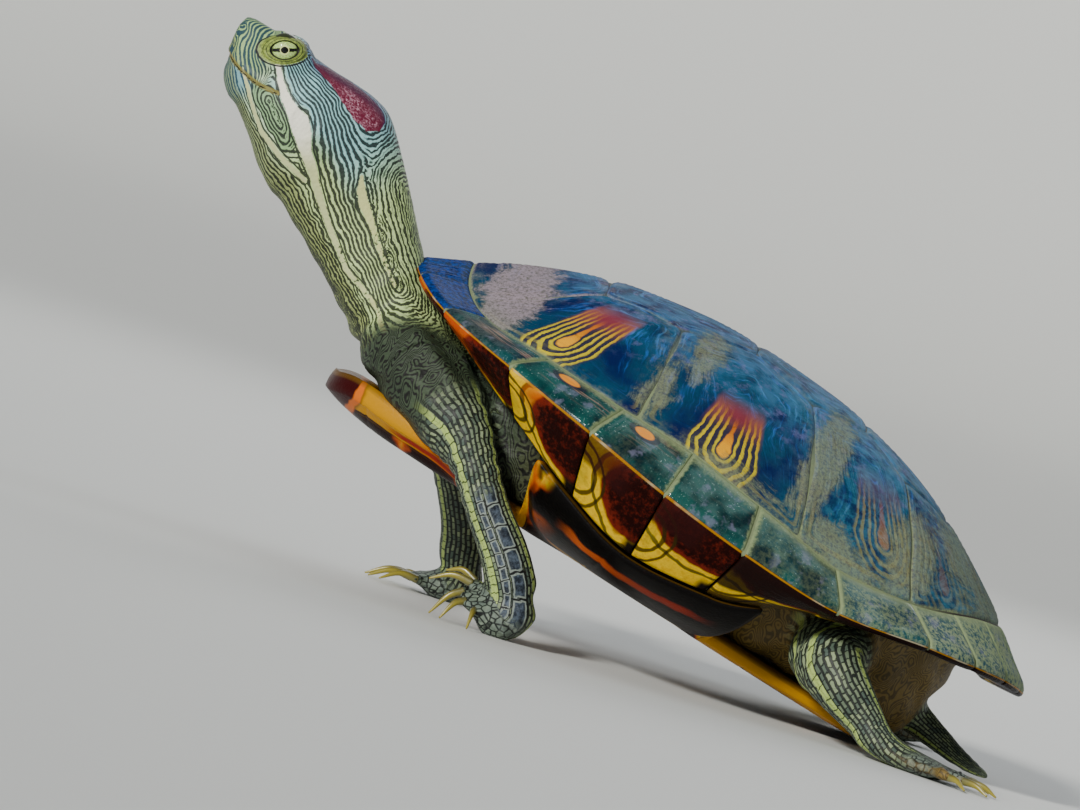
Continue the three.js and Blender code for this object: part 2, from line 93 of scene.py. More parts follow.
# Head and neck, snout first: distance back, height, lean of the section in degrees from
# upright, half-depth, half-width; in the shell's frame.
NECK_ROWS = [
    (-73.3, 70.7, 0, 5.6, 3.4), (-70.7, 67.9, 4, 8.6, 5.6), (-66.8, 66.0, 4, 10.6, 7.4),
    (-61.5, 65.1, 8, 11.7, 9.2), (-50.9, 61.5, 13, 14.9, 12.6), (-44.7, 59.4, 15, 17.3, 13.8),
    (-38.3, 57.8, 18, 18.7, 14), (-32.6, 55.6, 21, 18.5, 13.4), (-21.0, 47.3, 25, 16.2, 12.4),
    (-8.8, 37.9, 27, 13.8, 13.8), (0.3, 30.9, 30, 12.6, 15.5), (11.2, 26.3, 30, 13, 18),
    (26, 23, 24, 13.5, 21),
]
NECK_POWER = 2.3
SNOUT_CAP = 2.2


# ---- curves and places

def curve(knots):
    """Smooth function through (place, value) knots: cubic pieces, slopes from the neighbours."""
    place, value = np.array(knots, float).T
    index = np.arange(len(place))
    after = np.minimum(index + 1, len(place) - 1)
    before = np.maximum(index - 1, 0)
    slope = (value[after] - value[before]) / (place[after] - place[before])

    def at(x):
        x = np.clip(x, place[0], place[-1])
        i = np.clip(np.searchsorted(place, x, side="right") - 1, 0, len(place) - 2)
        step = place[i + 1] - place[i]
        t = (x - place[i]) / step
        rise = value[i + 1] - value[i]
        bend = slope[i] * step - rise
        back = rise - slope[i + 1] * step
        return value[i] + rise * t + t * (1 - t) * (bend * (1 - t) + back * t)

    return at


def rows_through(rows):
    """Rows of numbers as a smooth function of t, from 0 at the first row to 1 at the last."""
    columns = [curve(list(enumerate(column))) for column in np.array(rows, float).T]
    return lambda t: np.stack([c(np.asarray(t) * (len(rows) - 1)) for c in columns], -1)


def smooth(low, high, x):
    """0 up to low, 1 from high on, and an S-curve between; low may be above high."""
    t = np.clip((np.asarray(x, float) - low) / (high - low), 0, 1)
    return t * t * (3 - 2 * t)


def unit(v):
    return v / np.maximum(np.linalg.norm(v, axis=-1, keepdims=True), 1e-9)


def bell(x, width):
    """1 at 0, falling off to both sides."""
    return np.exp(-((x / width) ** 2))


def turns(count):
    """Evenly spaced angles of a full turn."""
    return np.linspace(0, 2 * np.pi, count, endpoint=False)


def dots(a, b):
    """Dot products of matching rows."""
    return np.einsum("ij,ij->i", a, b)


def signed_power(v, power):
    return np.sign(v) * np.abs(v) ** power


def lengths_along(path):
    """How far along a line of points each of them lies."""
    return np.concatenate([[0], np.cumsum(np.linalg.norm(np.diff(path, axis=0), axis=1))])


def in_chunks(work, points, chunk=8000):
    """What work gives for the points, a chunk at a time to keep its tables small."""
    return np.concatenate([work(points[i:i + chunk]) for i in range(0, len(points), chunk)])


def lean(dx, dz):
    """A direction of the shell's frame in the model's frame, as its x and z."""
    return dx * math.cos(TILT) + dz * math.sin(TILT), dz * math.cos(TILT) - dx * math.sin(TILT)


REAR_TIP_HEIGHT = 35
REAR_TIP = SHELL_LENGTH * math.cos(TILT) + REAR_TIP_HEIGHT * math.sin(TILT)
SHIFT = REAR_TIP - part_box("carapace")[1].x / MM


def stand(x, y, z):
    """A point of the shell's frame, tipped by TILT so that the plastron's heel is on the floor."""
    along = x * math.cos(TILT) + z * math.sin(TILT) - SHIFT
    up = (HEEL - x) * math.sin(TILT) + z * math.cos(TILT)
    return np.stack(np.broadcast_arrays(along, y, up), -1).astype(float)


def unstand(points):
    """The shell-frame x, y, z of points of the model's frame."""
    along, up = points[..., 0] + SHIFT, points[..., 2] - HEEL * math.sin(TILT)
    x = along * math.cos(TILT) - up * math.sin(TILT)
    z = along * math.sin(TILT) + up * math.cos(TILT)
    return x, points[..., 1], z


# ---- shapes as arrays

class Shape:
    """Points in millimetres, four- and three-sided faces, and named numbers at each point."""

    def __init__(self, points, quads=(), tris=(), **values):
        self.points = np.asarray(points, float).reshape(-1, 3)
        self.quads = np.asarray(quads, int).reshape(-1, 4)
        self.tris = np.asarray(tris, int).reshape(-1, 3)
        size = len(self.points)
        self.values = {k: np.broadcast_to(v, (size,)).astype(float) for k, v in values.items()}

    def mirrored(self):
        """The same shape on the animal's other side, its faces turned to point outwards."""
        return Shape(self.points * (1, -1, 1), self.quads[:, ::-1], self.tris[:, ::-1],
                     **self.values)


def joined(shapes):
    """Several shapes as one; a number that one of them lacks is 0 there."""
    starts = np.cumsum([0] + [len(s.points) for s in shapes[:-1]])
    names = sorted({name for s in shapes for name in s.values})
    values = {
        name: np.concatenate([s.values.get(name, np.zeros(len(s.points))) for s in shapes])
        for name in names
    }
    return Shape(
        np.concatenate([s.points for s in shapes]),
        np.concatenate([s.quads + start for s, start in zip(shapes, starts)]),
        np.concatenate([s.tris + start for s, start in zip(shapes, starts)]),
        **values,
    )


def skinned(first, rings, last, **values):
    """Closed skin over rings of equally many points, drawn to one point at each end.
    values are named numbers of the rings' points, or broadcast to them; the ends take their
    ring's mean."""
    count, around = rings.shape[:2]
    at = 1 + np.arange(count * around).reshape(count, around)
    near, far = at[:-1], at[1:]
    quads = np.stack([near, np.roll(near, -1, 1), np.roll(far, -1, 1), far], -1)
    top = np.stack([np.zeros(around, int), np.roll(at[0], -1), at[0]], -1)
    end = np.full(around, count * around + 1)
    bottom = np.stack([end, at[-1], np.roll(at[-1], -1)], -1)
    points = np.concatenate([[first], rings.reshape(-1, 3), [last]])
    spread = {}
    for name, value in values.items():
        value = np.broadcast_to(value, (count, around))
        spread[name] = np.concatenate([[value[0].mean()], value.ravel(), [value[-1].mean()]])
    return Shape(points, quads, np.concatenate([top, bottom]), **spread)


def outwards(shape):
    """A closed shape whose faces are turned, if need be, so that its volume is positive."""
    tris = np.concatenate([shape.tris, shape.quads[:, [0, 1, 2]], shape.quads[:, [0, 2, 3]]])
    a, b, c = (shape.points[tris[:, i]] for i in range(3))
    if np.einsum("ij,ij->", a, np.cross(b, c)) < 0:
        return Shape(shape.points, shape.quads[:, ::-1], shape.tris[:, ::-1], **shape.values)
    return shape


def make_object(name, shape, finish, replaces=()):
    """A mesh object at the origin from a shape, with its attributes and its material."""
    mesh = bpy.data.meshes.new(name)
    mesh.from_pydata(shape.points * MM, [], shape.quads.tolist() + shape.tris.tolist())
    mesh.validate()
    for key, numbers in shape.values.items():
        attribute = mesh.attributes.new(key, "FLOAT", "POINT")
        attribute.data.foreach_set("value", numbers.astype(np.float32))
    mesh.shade_smooth()
    piece = bpy.data.objects.new(name, mesh)
    bpy.context.scene.collection.objects.link(piece)
    if finish is not None:
        mesh.materials.append(finish)
        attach(piece, "root")
    if replaces:
        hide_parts(*replaces)
    return piece


# ---- shell surfaces

rim_height = curve([
    (0, 45.8), (11, 43.3), (28, 39), (48, 36), (65, 33), (78, 30), (92, 27.8), (105, 28),
    (125, 33), (150, 36), (180, REAR_TIP_HEIGHT),
])
brim_drop = curve([
    (0, 3), (24, 5), (48, 12), (63, 17.5), (77, 20), (90, 15), (103, 6), (118, 4), (180, 3),
])
flare = curve([
    (0, 1), (12, 5), (28, 6.7), (48, 4.5), (65, 2.7), (78, 0.4), (90, 1.4), (105, 4.4),
    (125, 5.4), (150, 1.8), (180, 0),
])


def ray(angle):
    """Distance from the apex line to the rim along a ray, and the ray's direction in plan.
    The rim is an oval whose halves share a widest place and have exponents of their own."""
    c, s = np.cos(angle), np.sin(angle)
    reach = np.where(c > 0, WIDEST_AT, SHELL_LENGTH - WIDEST_AT)
    x = WIDEST_AT - reach * signed_power(c, np.where(c > 0, 0.88, 0.86))
    y = -SHELL_HALF_WIDTH * signed_power(s, 0.97)
    radius = np.hypot(x - APEX_AT, y)
    return radius, (x - APEX_AT) / radius, y / radius


def degrees(angle):
    """Degrees from the front of the shell, the same on both sides."""
    return np.degrees(np.arccos(np.clip(np.cos(angle), -1, 1)))


def dome(angle, share):
    """Height of the dome a share of the way from the apex to the rim: a power of the share,
    less the flare that sinks the marginals below it."""
    c = np.cos(angle)
    power = 2.15 + np.where(c > 0, 0, 0.15) * c * c
    rim = rim_height(degrees(angle))
    sunk = smooth(0.5, FLARE_FROM, share) * np.minimum(1, (1 - share) / (1 - FLARE_FROM))
    return rim + (APEX_HEIGHT - rim) * (1 - share ** power) - flare(degrees(angle)) * sunk


def bridge(angle):
    """1 where the plastron joins the marginals, 0 at the openings for the limbs."""
    return smooth(50, 57, degrees(angle)) * (1 - smooth(97, 104, degrees(angle)))


TURN = np.linspace(0, 2 * np.pi, 7201)
DIRECTION = np.unwrap(np.arctan2(-ray(TURN)[2], -ray(TURN)[1]))


def polar(x, y):
    """Ray angle, and share of the way to the rim, of a place in plan."""
    wanted = np.mod(np.arctan2(-y, APEX_AT - x), 2 * np.pi)
    angle = np.interp(wanted, DIRECTION, TURN)
    return angle, np.hypot(x - APEX_AT, y) / ray(angle)[0]


def dome_at(x, y):
    return dome(*polar(x, y))


def on_dome(x, y, lift):
    """Places in plan raised onto the dome and lift millimetres out along its normal."""
    step = 0.4
    slope_x = (dome_at(x + step, y) - dome_at(x - step, y)) / (2 * step)
    slope_y = (dome_at(x, y + step) - dome_at(x, y - step)) / (2 * step)
    out = unit(np.stack([-slope_x, -slope_y, np.ones_like(slope_x)], -1))
    z = dome_at(x, y)
    return stand(x + lift * out[..., 0], y + lift * out[..., 1], z + lift * out[..., 2])


def plan(angle, distance):
    """Place in plan, a distance from the apex line along a ray."""
    _, dx, dy = ray(angle)
    return APEX_AT + dx * distance, dy * distance


def from_apex(angle, distance, height):
    """The same place at a height."""
    return stand(*plan(angle, distance), height)


def ring_round(rays, place):
    """One ring round the shell: place() gives a distance and a height for each ray."""
    angle = turns(rays)
    return from_apex(angle, *place(angle, ray(angle)[0]))


def seam_height(angle):
    """Height of the marginals' inner lower edge."""
    return rim_height(degrees(angle)) - brim_drop(degrees(angle))


def shell_base():
    """The closed shell under the scutes: dome, rim, underside of the rim and inside wall, each
    an oval ring of rays; it is sunk by a seam's depth where scutes lie on it."""
    rays, sink = 240, SEAM_DEPTH

    def inside(radius):
        return radius - BRIM - WALL

    outer = [
        ring_round(rays, lambda a, r, s=s: (r * s, dome(a, s) - sink))
        for s in np.linspace(0.04, 0.98, 38)
    ]
    edge = [
        ring_round(rays, lambda a, r, p=p: (
            r - sink - p[0], rim_height(degrees(a)) - sink - p[1] * RIM_EDGE))
        for p in ((0.3, 0), (0.05, 0.3), (0.3, 0.7))
    ]
    under = [
        ring_round(rays, lambda a, r, s=s: (
            r - sink - BRIM * s,
            rim_height(degrees(a)) - RIM_EDGE + sink
            + (seam_height(a) - rim_height(degrees(a)) + RIM_EDGE) * s ** 1.2))
        for s in (0.2, 0.4, 0.6, 0.8, 0.96)
    ]
    wall = [ring_round(rays, lambda a, r: (inside(r), seam_height(a) + 0.4))]
    ceiling = [
        ring_round(rays, lambda a, r, s=s: (
            inside(r) * s, dome(a, inside(r) * s / r) - BONE))
        for s in np.linspace(1, 0.1, 16)
    ]
    top = stand(APEX_AT, 0, APEX_HEIGHT - sink)
    return outwards(skinned(top, np.stack(outer + edge + under + wall + ceiling),
                            stand(APEX_AT, 0, APEX_HEIGHT - BONE)))


# ---- scutes of the dome

V1_CORNER, P12, P23, P34, V5_CORNER = 17.2, 67.7, 95.9, 125.2, 159.1  # on the marginals, degrees
SPINE = [  # corners of the vertebral scutes, front to back: distance back, distance aside
    (30, 21), (47, 18), (69, 27), (90, 18), (109, 27), (126, 18), (141, 26), (158, 13),
]


def seam_line(start, end, samples=40):
    """A seam in plan between two corners, with a shallow wave."""
    t = np.linspace(0, 1, samples)[:, None]
    across = np.array([-(end - start)[1], (end - start)[0]])
    wave = 0.012 * np.sin(3 * np.pi * t + start[0]) * np.sin(np.pi * t)
    return start + (end - start) * t + across * wave


def marginal_edge(first, last, samples=120):
    """The marginals' inner edge in plan, between two rays given in degrees."""
    angle = np.radians(np.linspace(first, last, samples))
    return np.stack(plan(angle, ray(angle)[0] * FLARE_FROM), -1)


def scute_edge(stops, count):
    """A scute's edge: seams between stops, each a corner or a length of the marginals' edge. It
    is a closed curve of evenly spaced places, its corners eased."""
    path = []
    for stop, following in zip(stops, stops[1:] + stops[:1]):
        path += [stop, seam_line(stop[-1], following[0])]
    path = np.concatenate(path)
    length = lengths_along(path)
    wanted = np.linspace(0, length[-1], count, endpoint=False)
    even = np.stack([np.interp(wanted, length, path[:, i]) for i in range(2)], -1)
    for _ in range(3):
        even = 0.25 * np.roll(even, 1, 0) + 0.5 * even + 0.25 * np.roll(even, -1, 0)
    return even


def dust_at(x, y):
    """How thickly dried mud lies: a few patches, each a bell over its place in plan."""
    patches = [  # distance back, aside, spread back, spread aside, strength
        (27, 16, 9, 25, 1.0), (78, 32, 6, 15, 0.8), (119, 42, 6, 24, 1.0),
        (152, 44, 9, 17, 0.9), (166, 18, 13, 18, 0.95), (186, 24, 15, 34, 1.1),
        (100, 64, 22, 5, 0.55), (134, 62, 18, 8, 0.8), (71, 52, 5, 12, 0.75),
    ]
    total = np.zeros_like(x)
    for px, py, sx, sy, strength in patches:
        total = np.maximum(total, strength * bell(x - px, sx) * bell(np.abs(y) - py, sy))
    return total


REACHES = np.concatenate([np.linspace(0.04, 0.9, 25), [0.925, 0.945, 0.96, 0.972, 0.982, 0.99,
                                                      0.996, 1.0]])


def scute(edge, core, seed, loops=None):
    """A plate of the dome. Its places are core + (edge - core) * reach, for reach from 0 to 1;
    it stands up from the shell, with growth rings that follow its edge, and rounds off into the
    seam. loops is the way (back, up) that its pattern opens, the pattern's centre in plan, and
    how vivid it is."""
    reach = REACHES[:, None]
    offset = edge[None] - np.array(core, float)
    x = core[0] + offset[..., 0] * reach
    y = core[1] + offset[..., 1] * reach
    span = np.linalg.norm(offset[0], axis=-1)[None] * (1 - reach)  # from the edge, mm
    grow = size("rings") * np.sin(2 * np.pi * (span / 2.1 + 0.35 * np.sin(3 * reach + seed)))
    grow = grow * smooth(0.15, 0.5, reach) * smooth(0.3, 1.2, span)
    sag = 0.16 * np.sin(x / 5.3 + seed) * np.sin(y / 6.1 - seed) * smooth(0, 3, span)
    keel = size("keel") * bell(y, 5) * smooth(0, 4, span) * (x > 20)
    shoulder = np.sqrt(np.clip(span / 1.3, 0, 1))
    lift = (size("scute") + 0.6) * shoulder - 0.6 + (grow + sag + keel) * smooth(0, 1.5, span)
    points = on_dome(x, y, lift)
    values = {
        "edge": span, "seed": seed, "dust": dust_at(x, y), "crest": smooth(35, 72, dome_at(x, y)),
        "loop": 99, "rise": 0,
    }
    if loops:
        (back, up), (cx, cy), values["vivid"] = loops
        drop = dome_at(x, y) - dome_at(x, np.full_like(x, cy))
        down = np.sign(np.abs(y) - cy) * np.hypot(np.abs(y) - cy, drop)
        rise = (x - cx) * back - down * up
        aside = (x - cx) * up + down * back
        aside = aside * (1 + 0.03 * np.maximum(rise, 0))
        values["loop"] = np.hypot(aside, np.minimum(rise, 0) * 0.8)
        values["rise"] = rise
    top, under = (on_dome(*core, level) for level in (lift[0].mean(), -ROOT))
    return outwards(skinned(top, points, under, **values))


def spine_corners(indices, side):
    """Corners of the vertebral scutes on a side, in plan."""
    return [np.array([[SPINE[k][0], side * SPINE[k][1]]], float) for k in indices]


VERTEBRAL_POINTS, PLEURAL_POINTS = 184, 200  # round a scute's edge


def vertebrals():
    """The five scutes along the back."""
    outlines = [[marginal_edge(-V1_CORNER, V1_CORNER), *spine_corners((0, 1), -1),
                 *spine_corners((1, 0), 1)]]
    for i in (1, 3, 5):
        outlines.append(spine_corners((i, i + 1, i + 2), -1) + spine_corners((i + 2, i + 1, i), 1))
    outlines.append([*spine_corners([7], 1), *spine_corners([7], -1),
                     marginal_edge(V5_CORNER, 360 - V5_CORNER)])
    edges = [scute_edge(outline, VERTEBRAL_POINTS) for outline in outlines]
    return joined([
        scute(edge, edge.mean(0) + (4, 0), 1.7 * i + 0.4) for i, edge in enumerate(edges)])


PLEURALS = [  # rays on the rim, spine corners from the rear, loops' way, centre and strength
    ((V1_CORNER, P12), (2, 1, 0), ((0.51, 0.86), (43.8, 42), 1)),
    ((P12, P23), (4, 3, 2), ((-0.06, 1), (93.7, 60), 1)),
    ((P23, P34), (6, 5, 4), ((-0.5, 0.86), (143, 49), 0.26)),
    ((P34, V5_CORNER), (7, 6), ((-0.62, 0.78), (164, 41), 0.12)),
]


def pleurals():
    """The four scutes of a side, and their mirror images."""
    shapes = []
    for i, (rim, corners, loops) in enumerate(PLEURALS):
        edge = scute_edge([marginal_edge(*rim), *spine_corners(corners, -1)], PLEURAL_POINTS)
        core = 0.5 * edge.mean(0) + 0.5 * np.array(loops[1]) * (1, -1)
        shapes.append(scute(edge, core, 2.3 * i + 9.1, loops))
    return joined(shapes + [s.mirrored() for s in shapes])


# ---- marginal scutes

MARGINAL_RAYS = [3.6, 11.4, 28, 48, 65, 78, 89, 105, 125, 138.75, 152.5, 166.25, 180]


def marginal_section(angle, v):
    """Outside of the rim's section at a ray, as distance and height: v runs from 0 at the inner
    upper edge to 1 at the rim, to 2 at the inner lower edge."""
    radius = ray(angle)[0]
    rim, seam = rim_height(degrees(angle)), seam_height(angle)
    over, under = np.clip(v, 0, 1), np.clip(v - 1, 0, 1)
    share = FLARE_FROM + (1 - FLARE_FROM) * over
    distance = radius * share - BRIM * under ** 1.15
    height = np.where(v <= 1, dome(angle, share), rim - RIM_EDGE + (seam - rim + RIM_EDGE) * under)
    blunt = RIM_EDGE * smooth(0.86, 1.0, over) * (1 - smooth(0, 0.12, under)) * 0.5
    return distance - 0.4 * (1 - smooth(0, 0.06, np.abs(v - 1))), np.where(
        v <= 1, height - blunt, height + blunt)


def marginal(first, last, seed, number):
    """A marginal scute between two rays: u along the rim, v round its section, then closed
    inside the shell. It stands proud of the base and rounds off into the seams."""
    u = np.linspace(0, 1, 45)
    u = 0.6 * u + 0.4 * (0.5 - 0.5 * np.cos(np.pi * u))
    v = np.concatenate([np.linspace(0, 0.12, 6), np.linspace(0.16, 0.86, 18),
                        np.linspace(0.89, 1.11, 15), np.linspace(1.15, 1.9, 20),
                        np.linspace(1.925, 2, 4)])
    angle = np.radians(first + (last - first) * u)[:, None]
    radius = ray(angle)[0]
    distance, height = marginal_section(angle, v[None])
    scallop = size("scallop") * smooth(110, 140, degrees(angle)) * np.sin(np.pi * u[:, None]) ** 0.6
    distance = distance + scallop * smooth(0.5, 1, v) * smooth(1.8, 1.2, v)
    surface = from_apex(angle, distance, height)
    along = np.gradient(surface, axis=0)
    out = unit(np.cross(np.gradient(surface, axis=1), along))
    width = np.linalg.norm(along, axis=-1).sum(0)[None]
    edge = np.minimum(np.minimum(u[:, None], 1 - u[:, None]) * width,
                      np.minimum(v * 11, (2 - v) * 14)[None])
    rings = 0.05 * np.sin(2 * np.pi * edge / 1.7) * smooth(0.2, 1.2, edge) * smooth(7, 3, edge)
    top = np.where(v <= 1, size("rim_scute"), size("scute"))[None]
    lift = (top + 0.7) * np.sqrt(np.clip(edge / 1.0, 0, 1)) - 0.7 + rings * smooth(1.1, 0.9, v)
    lift = lift + 0.1 * np.sin(surface[..., 0] / 4 + seed) * smooth(0, 2, edge)
    points = surface + out * lift[..., None]
    inner_low = from_apex(angle, radius - BRIM - 1.2, seam_height(angle) + 1)
    inner_high = from_apex(angle, radius * (FLARE_FROM - 0.005), dome(angle, FLARE_FROM) - ROOT)
    points = np.concatenate([points, inner_low, inner_high], axis=1)
    return outwards(skinned(
        points[0].mean(0), points, points[-1].mean(0), along=u[:, None],
        girth=np.append(v, [2, 0]), edge=np.pad(edge, ((0, 0), (0, 2))), seed=seed, number=number,
        dust=dust_at(*plan(angle, radius * 0.95))))


def marginals():
    """Twelve scutes down each side of the rim, and the small nuchal at the front."""
    side = [marginal(a, b, seed=3.1 * i + 0.7, number=i + 1)
            for i, (a, b) in enumerate(zip(MARGINAL_RAYS, MARGINAL_RAYS[1:]))]
    nuchal = marginal(-MARGINAL_RAYS[0], MARGINAL_RAYS[0], seed=5.5, number=0)
    return joined(side + [s.mirrored() for s in side] + [nuchal])


# ---- plastron

def lobe_reach(angle):
    """Distance from below the apex to the edge of the plastron's lobes: a squarish oval with
    a small notch at the rear."""
    _, dx, dy = ray(angle)
    power = 2.8
    length = np.where(dx < 0, LOBE_FRONT, LOBE_REAR)
    oval = (np.abs(dx) / length) ** power + (np.abs(dy) / LOBE_HALF_WIDTH) ** power
    return oval ** (-1 / power) - ANAL_NOTCH * bell(180 - degrees(angle), 5)


PLASTRON_SEAMS = [  # across seams: distance back at the midline, and its slope outwards
    (24, -0.62), (41, 0.1), (76, 0.12), (125, 0.16), (150, 0.38),
]


def plastron():
    """Two lobes and the bridges that rise to the marginals: rings of rays below, a rounded lip,
    and rings above. The seams between its scutes are shallow grooves."""
    rays = 720

    def mix(angle, lobe, wing):
        return lobe + (wing - lobe) * bridge(angle)

    def seam(angle):
        return seam_height(angle) - 0.3

    def edge(angle, radius):
        return mix(angle, lobe_reach(angle), radius - BRIM)

    def upturn(angle, distance):
        x, y = plan(angle, distance)
        curl = smooth(11, 0, lobe_reach(angle) - distance) * (1 - bridge(angle))
        curl = 3.2 * curl * smooth(48, 30, x) * smooth(8, 26, np.abs(y))
        return 0.004 * np.maximum(20 - x, 0) ** 2 + curl

    def below(share):
        def place(angle, radius):
            distance = edge(angle, radius) * share
            rise = mix(angle, 1.2 * share ** 20, (seam(angle) - RIM_EDGE) * share ** 6)
            x, y = plan(angle, distance)
            groove = bell(y, 0.45)
            for at, slope in PLASTRON_SEAMS:
                groove = np.maximum(groove, bell(x - at - slope * np.abs(y), 0.5))
            return distance, rise + upturn(angle, distance) + size("groove") * groove
        return ring_round(rays, place)

    def lobe_top(angle, distance):
        return PLASTRON_THICKNESS + GULAR_SWELL * smooth(42, 12, plan(angle, distance)[0])

    def above(share):
        def place(angle, radius):
            distance = (edge(angle, radius) - mix(angle, 0, WALL)) * share
            lobe = lobe_top(angle, distance) - 1.2 * share ** 20
            wing = PLASTRON_THICKNESS + (seam(angle) - PLASTRON_THICKNESS) * share ** 9
            return distance, mix(angle, lobe, wing) + upturn(angle, distance)
        return ring_round(rays, place)

    shares = np.concatenate([np.linspace(0.02, 0.9, 46), np.linspace(0.915, 1, 10)])
    lip = [
        ring_round(rays, lambda a, r, s=s: (
            edge(a, r) + 0.35 * math.sin(math.pi * s),
            mix(a, 1.2 + (lobe_top(a, edge(a, r)) - 2.4) * s, seam(a) - RIM_EDGE * (1 - s))
            + upturn(a, edge(a, r))))
        for s in (0.25, 0.5, 0.75)
    ]
    rings = np.stack([below(s) for s in shares] + lip
                     + [above(s) for s in (1.0, 0.985, 0.96, 0.92, 0.8, 0.6, 0.3)])
    x, y, _ = unstand(rings)
    angle = turns(rays)
    from_edge = edge(angle, ray(angle)[0]) - np.hypot(x - APEX_AT, y)
    inner = np.concatenate([np.zeros(len(shares)), [0.3, 0.6, 0.9], np.ones(7)])
    shape = skinned(
        stand(APEX_AT, 0, 0), rings, stand(APEX_AT, 0, PLASTRON_THICKNESS),
        back=x, aside=np.abs(y), margin=from_edge, inner=inner[:, None], wing=bridge(angle))
    shape.points[:, 2] = np.maximum(shape.points[:, 2], 0)
    return outwards(shape)


# ---- limbs, neck and tail

def tube(centre, depth, width, sides, front_cap, back_cap, power=2.0):
    """Closed tube round a line of centres; each section is centre + depth * cos + width * sin,
    both raised to 2 / power, and each end is a quarter-ellipse as long as its cap."""
    angle = turns(sides)
    c, s = (signed_power(v, 2 / power) for v in (np.cos(angle), np.sin(angle)))
    section = c[None, :, None] * depth[:, None] + s[None, :, None] * width[:, None]

    def cap(end, neighbour, length):
        out = unit(centre[end] - centre[neighbour]) * length
        rings = [
            centre[end] + out * math.sin(q) + section[end] * math.cos(q)
            for q in np.radians([18, 36, 54, 70, 82])
        ]
        return rings, centre[end] + out

    front, first = cap(0, 1, front_cap)
    back, last = cap(-1, -2, back_cap)
    rings = np.concatenate([front[::-1], centre[:, None] + section, back])
    return outwards(skinned(first, rings, last))


def sweep_frame(rows, across, t):
    """Centre, depth's way, width's way, half-depth and half-width at t along rows of
    x, y, z, half-depth, half-width."""
    row = rows_through(rows)
    values = row(t)
    ahead = unit(row(np.minimum(t + 0.01, 1))[:, :3] - row(np.maximum(t - 0.01, 0))[:, :3])
    across = np.array(across, float)
    width = unit(across - ahead * (ahead @ across)[:, None])
    return values[:, :3], np.cross(ahead, width), width, values[:, 3:4], values[:, 4:5]


def sweep(rows, across, steps, sides, front_cap, back_cap, power=2.0):
    """A closed tube along rows, its sections' width lying across."""
    centre, deep, wide, half_depth, half_width = sweep_frame(
        rows, across, np.linspace(0, 1, steps + 1))
    return tube(centre, deep * half_depth, wide * half_width, sides, front_cap, back_cap, power)


def on_shell(*rows):
    """Rows of a path, their places measured in the shell's frame."""
    return [(*stand(*row[:3]), *row[3:]) for row in rows]


def on_floor(*rows):
    """Rows of a path, or places, measured on the floor, back from the shell frame's own 0."""
    return [(row[0] - SHIFT, *row[1:]) for row in rows]


FORELEG_LEFT = {
    "side": -1,
    "path": on_shell(
        (22, 24, 19, 9, 9), (33, 38, 14.5, 8, 8), (41, 44.5, 8, 6.6, 6.4), (50, 47, 0, 6.3, 6.2),
        (60, 48.5, -7.5, 6.8, 6.6)) + on_floor((61, 49, 12.8, 7.4, 7)),
    "foot": on_floor((65.5, 49, 9.8, 5, 6.5), (61.5, 49, 5.2, 5.6, 8.6), (55.5, 49, 5.4, 4.6, 8.8)),
    "foot_across": (-0.1, 1, -0.32),
    "toes": [
        ((50.6, 40.5, 12), (43, 38, 12.4)), ((49.8, 43.5, 11.2), (39.2, 42, 9.2)),
        ((48.4, 48.6, 8.4), (41.6, 49.5, 0.7)), ((49.4, 52.6, 6.2), (44.5, 55.5, 0.6)),
        ((52.6, 56.2, 4.6), (52, 61, 0.3)),
    ],
    "toe_radius": 1.75, "claw_arch": 1.7,
}
FORELEG_RIGHT = {
    "side": 1,
    "path": on_shell((20, 24, 19, 9, 9), (30, 38, 14, 8, 8), (36, 45, 6, 6.6, 6.4)) + on_floor(
        (42, 50, 31, 6.3, 6.2), (47, 53, 21, 6.8, 6.6), (49, 54, 13, 7.2, 7)),
    "foot": on_floor((53.5, 54, 9, 4.6, 6.4), (49, 54.2, 4.4, 4.8, 8.6), (42.5, 54.6, 3.4, 3.8, 9)),
    "foot_across": (-0.12, 1, 0),
    "toes": [
        ((38, 46, 3.4), (28.5, 43, 1)), ((36.4, 50, 3.4), (25.5, 48.4, 0.7)),
        ((36, 54.8, 3.4), (24.6, 55, 0.7)), ((36.8, 59.4, 3.3), (26, 61.6, 0.7)),
        ((39.6, 63.4, 3.2), (31, 67.4, 0.9)),
    ],
    "toe_radius": 1.75, "claw_arch": 1.7,
}
HIND_LEG = {
    "path": on_shell(
        (150, 22, 20, 10, 11), (148, 40, 18, 10, 11), (147, 54, 15, 9, 10.5),
        (153, 62, 11.5, 8, 8.6), (162, 65.5, 7.5, 5.8, 6.8)) + on_floor((163, 67.5, 6.4, 4.4, 6.2)),
    "foot": on_floor(
        (161, 66.6, 6, 4.4, 6.6), (170, 70, 3.3, 3.5, 8.6), (181, 74.6, 2.2, 2.5, 10.4)),
    "foot_across": (-0.42, 1, 0),
    "toes": [
        ((189.5, 70.2, 2.2), (196, 70.4, 0.6)), ((190.5, 76.2, 2.2), (197.4, 78.2, 0.6)),
        ((188.2, 82, 2.2), (194.2, 86.2, 0.6)), ((183.4, 86.6, 2.2), (187.6, 92.2, 0.6)),
    ],
    "toe_radius": 1.7, "claw_arch": 0.8,
}
LEGS = {
    "foreleg_left": FORELEG_LEFT, "foreleg_right": FORELEG_RIGHT,
    "hindleg_left": {**HIND_LEG, "side": -1}, "hindleg_right": {**HIND_LEG, "side": 1},
}
SHOULDER = on_shell(  # skin between the neck's base and the foreleg
    (6, 12, 25, 12, 10), (18, 24, 20, 12.5, 11), (29, 34, 15, 10.5, 10), (37, 41, 10, 7, 7))
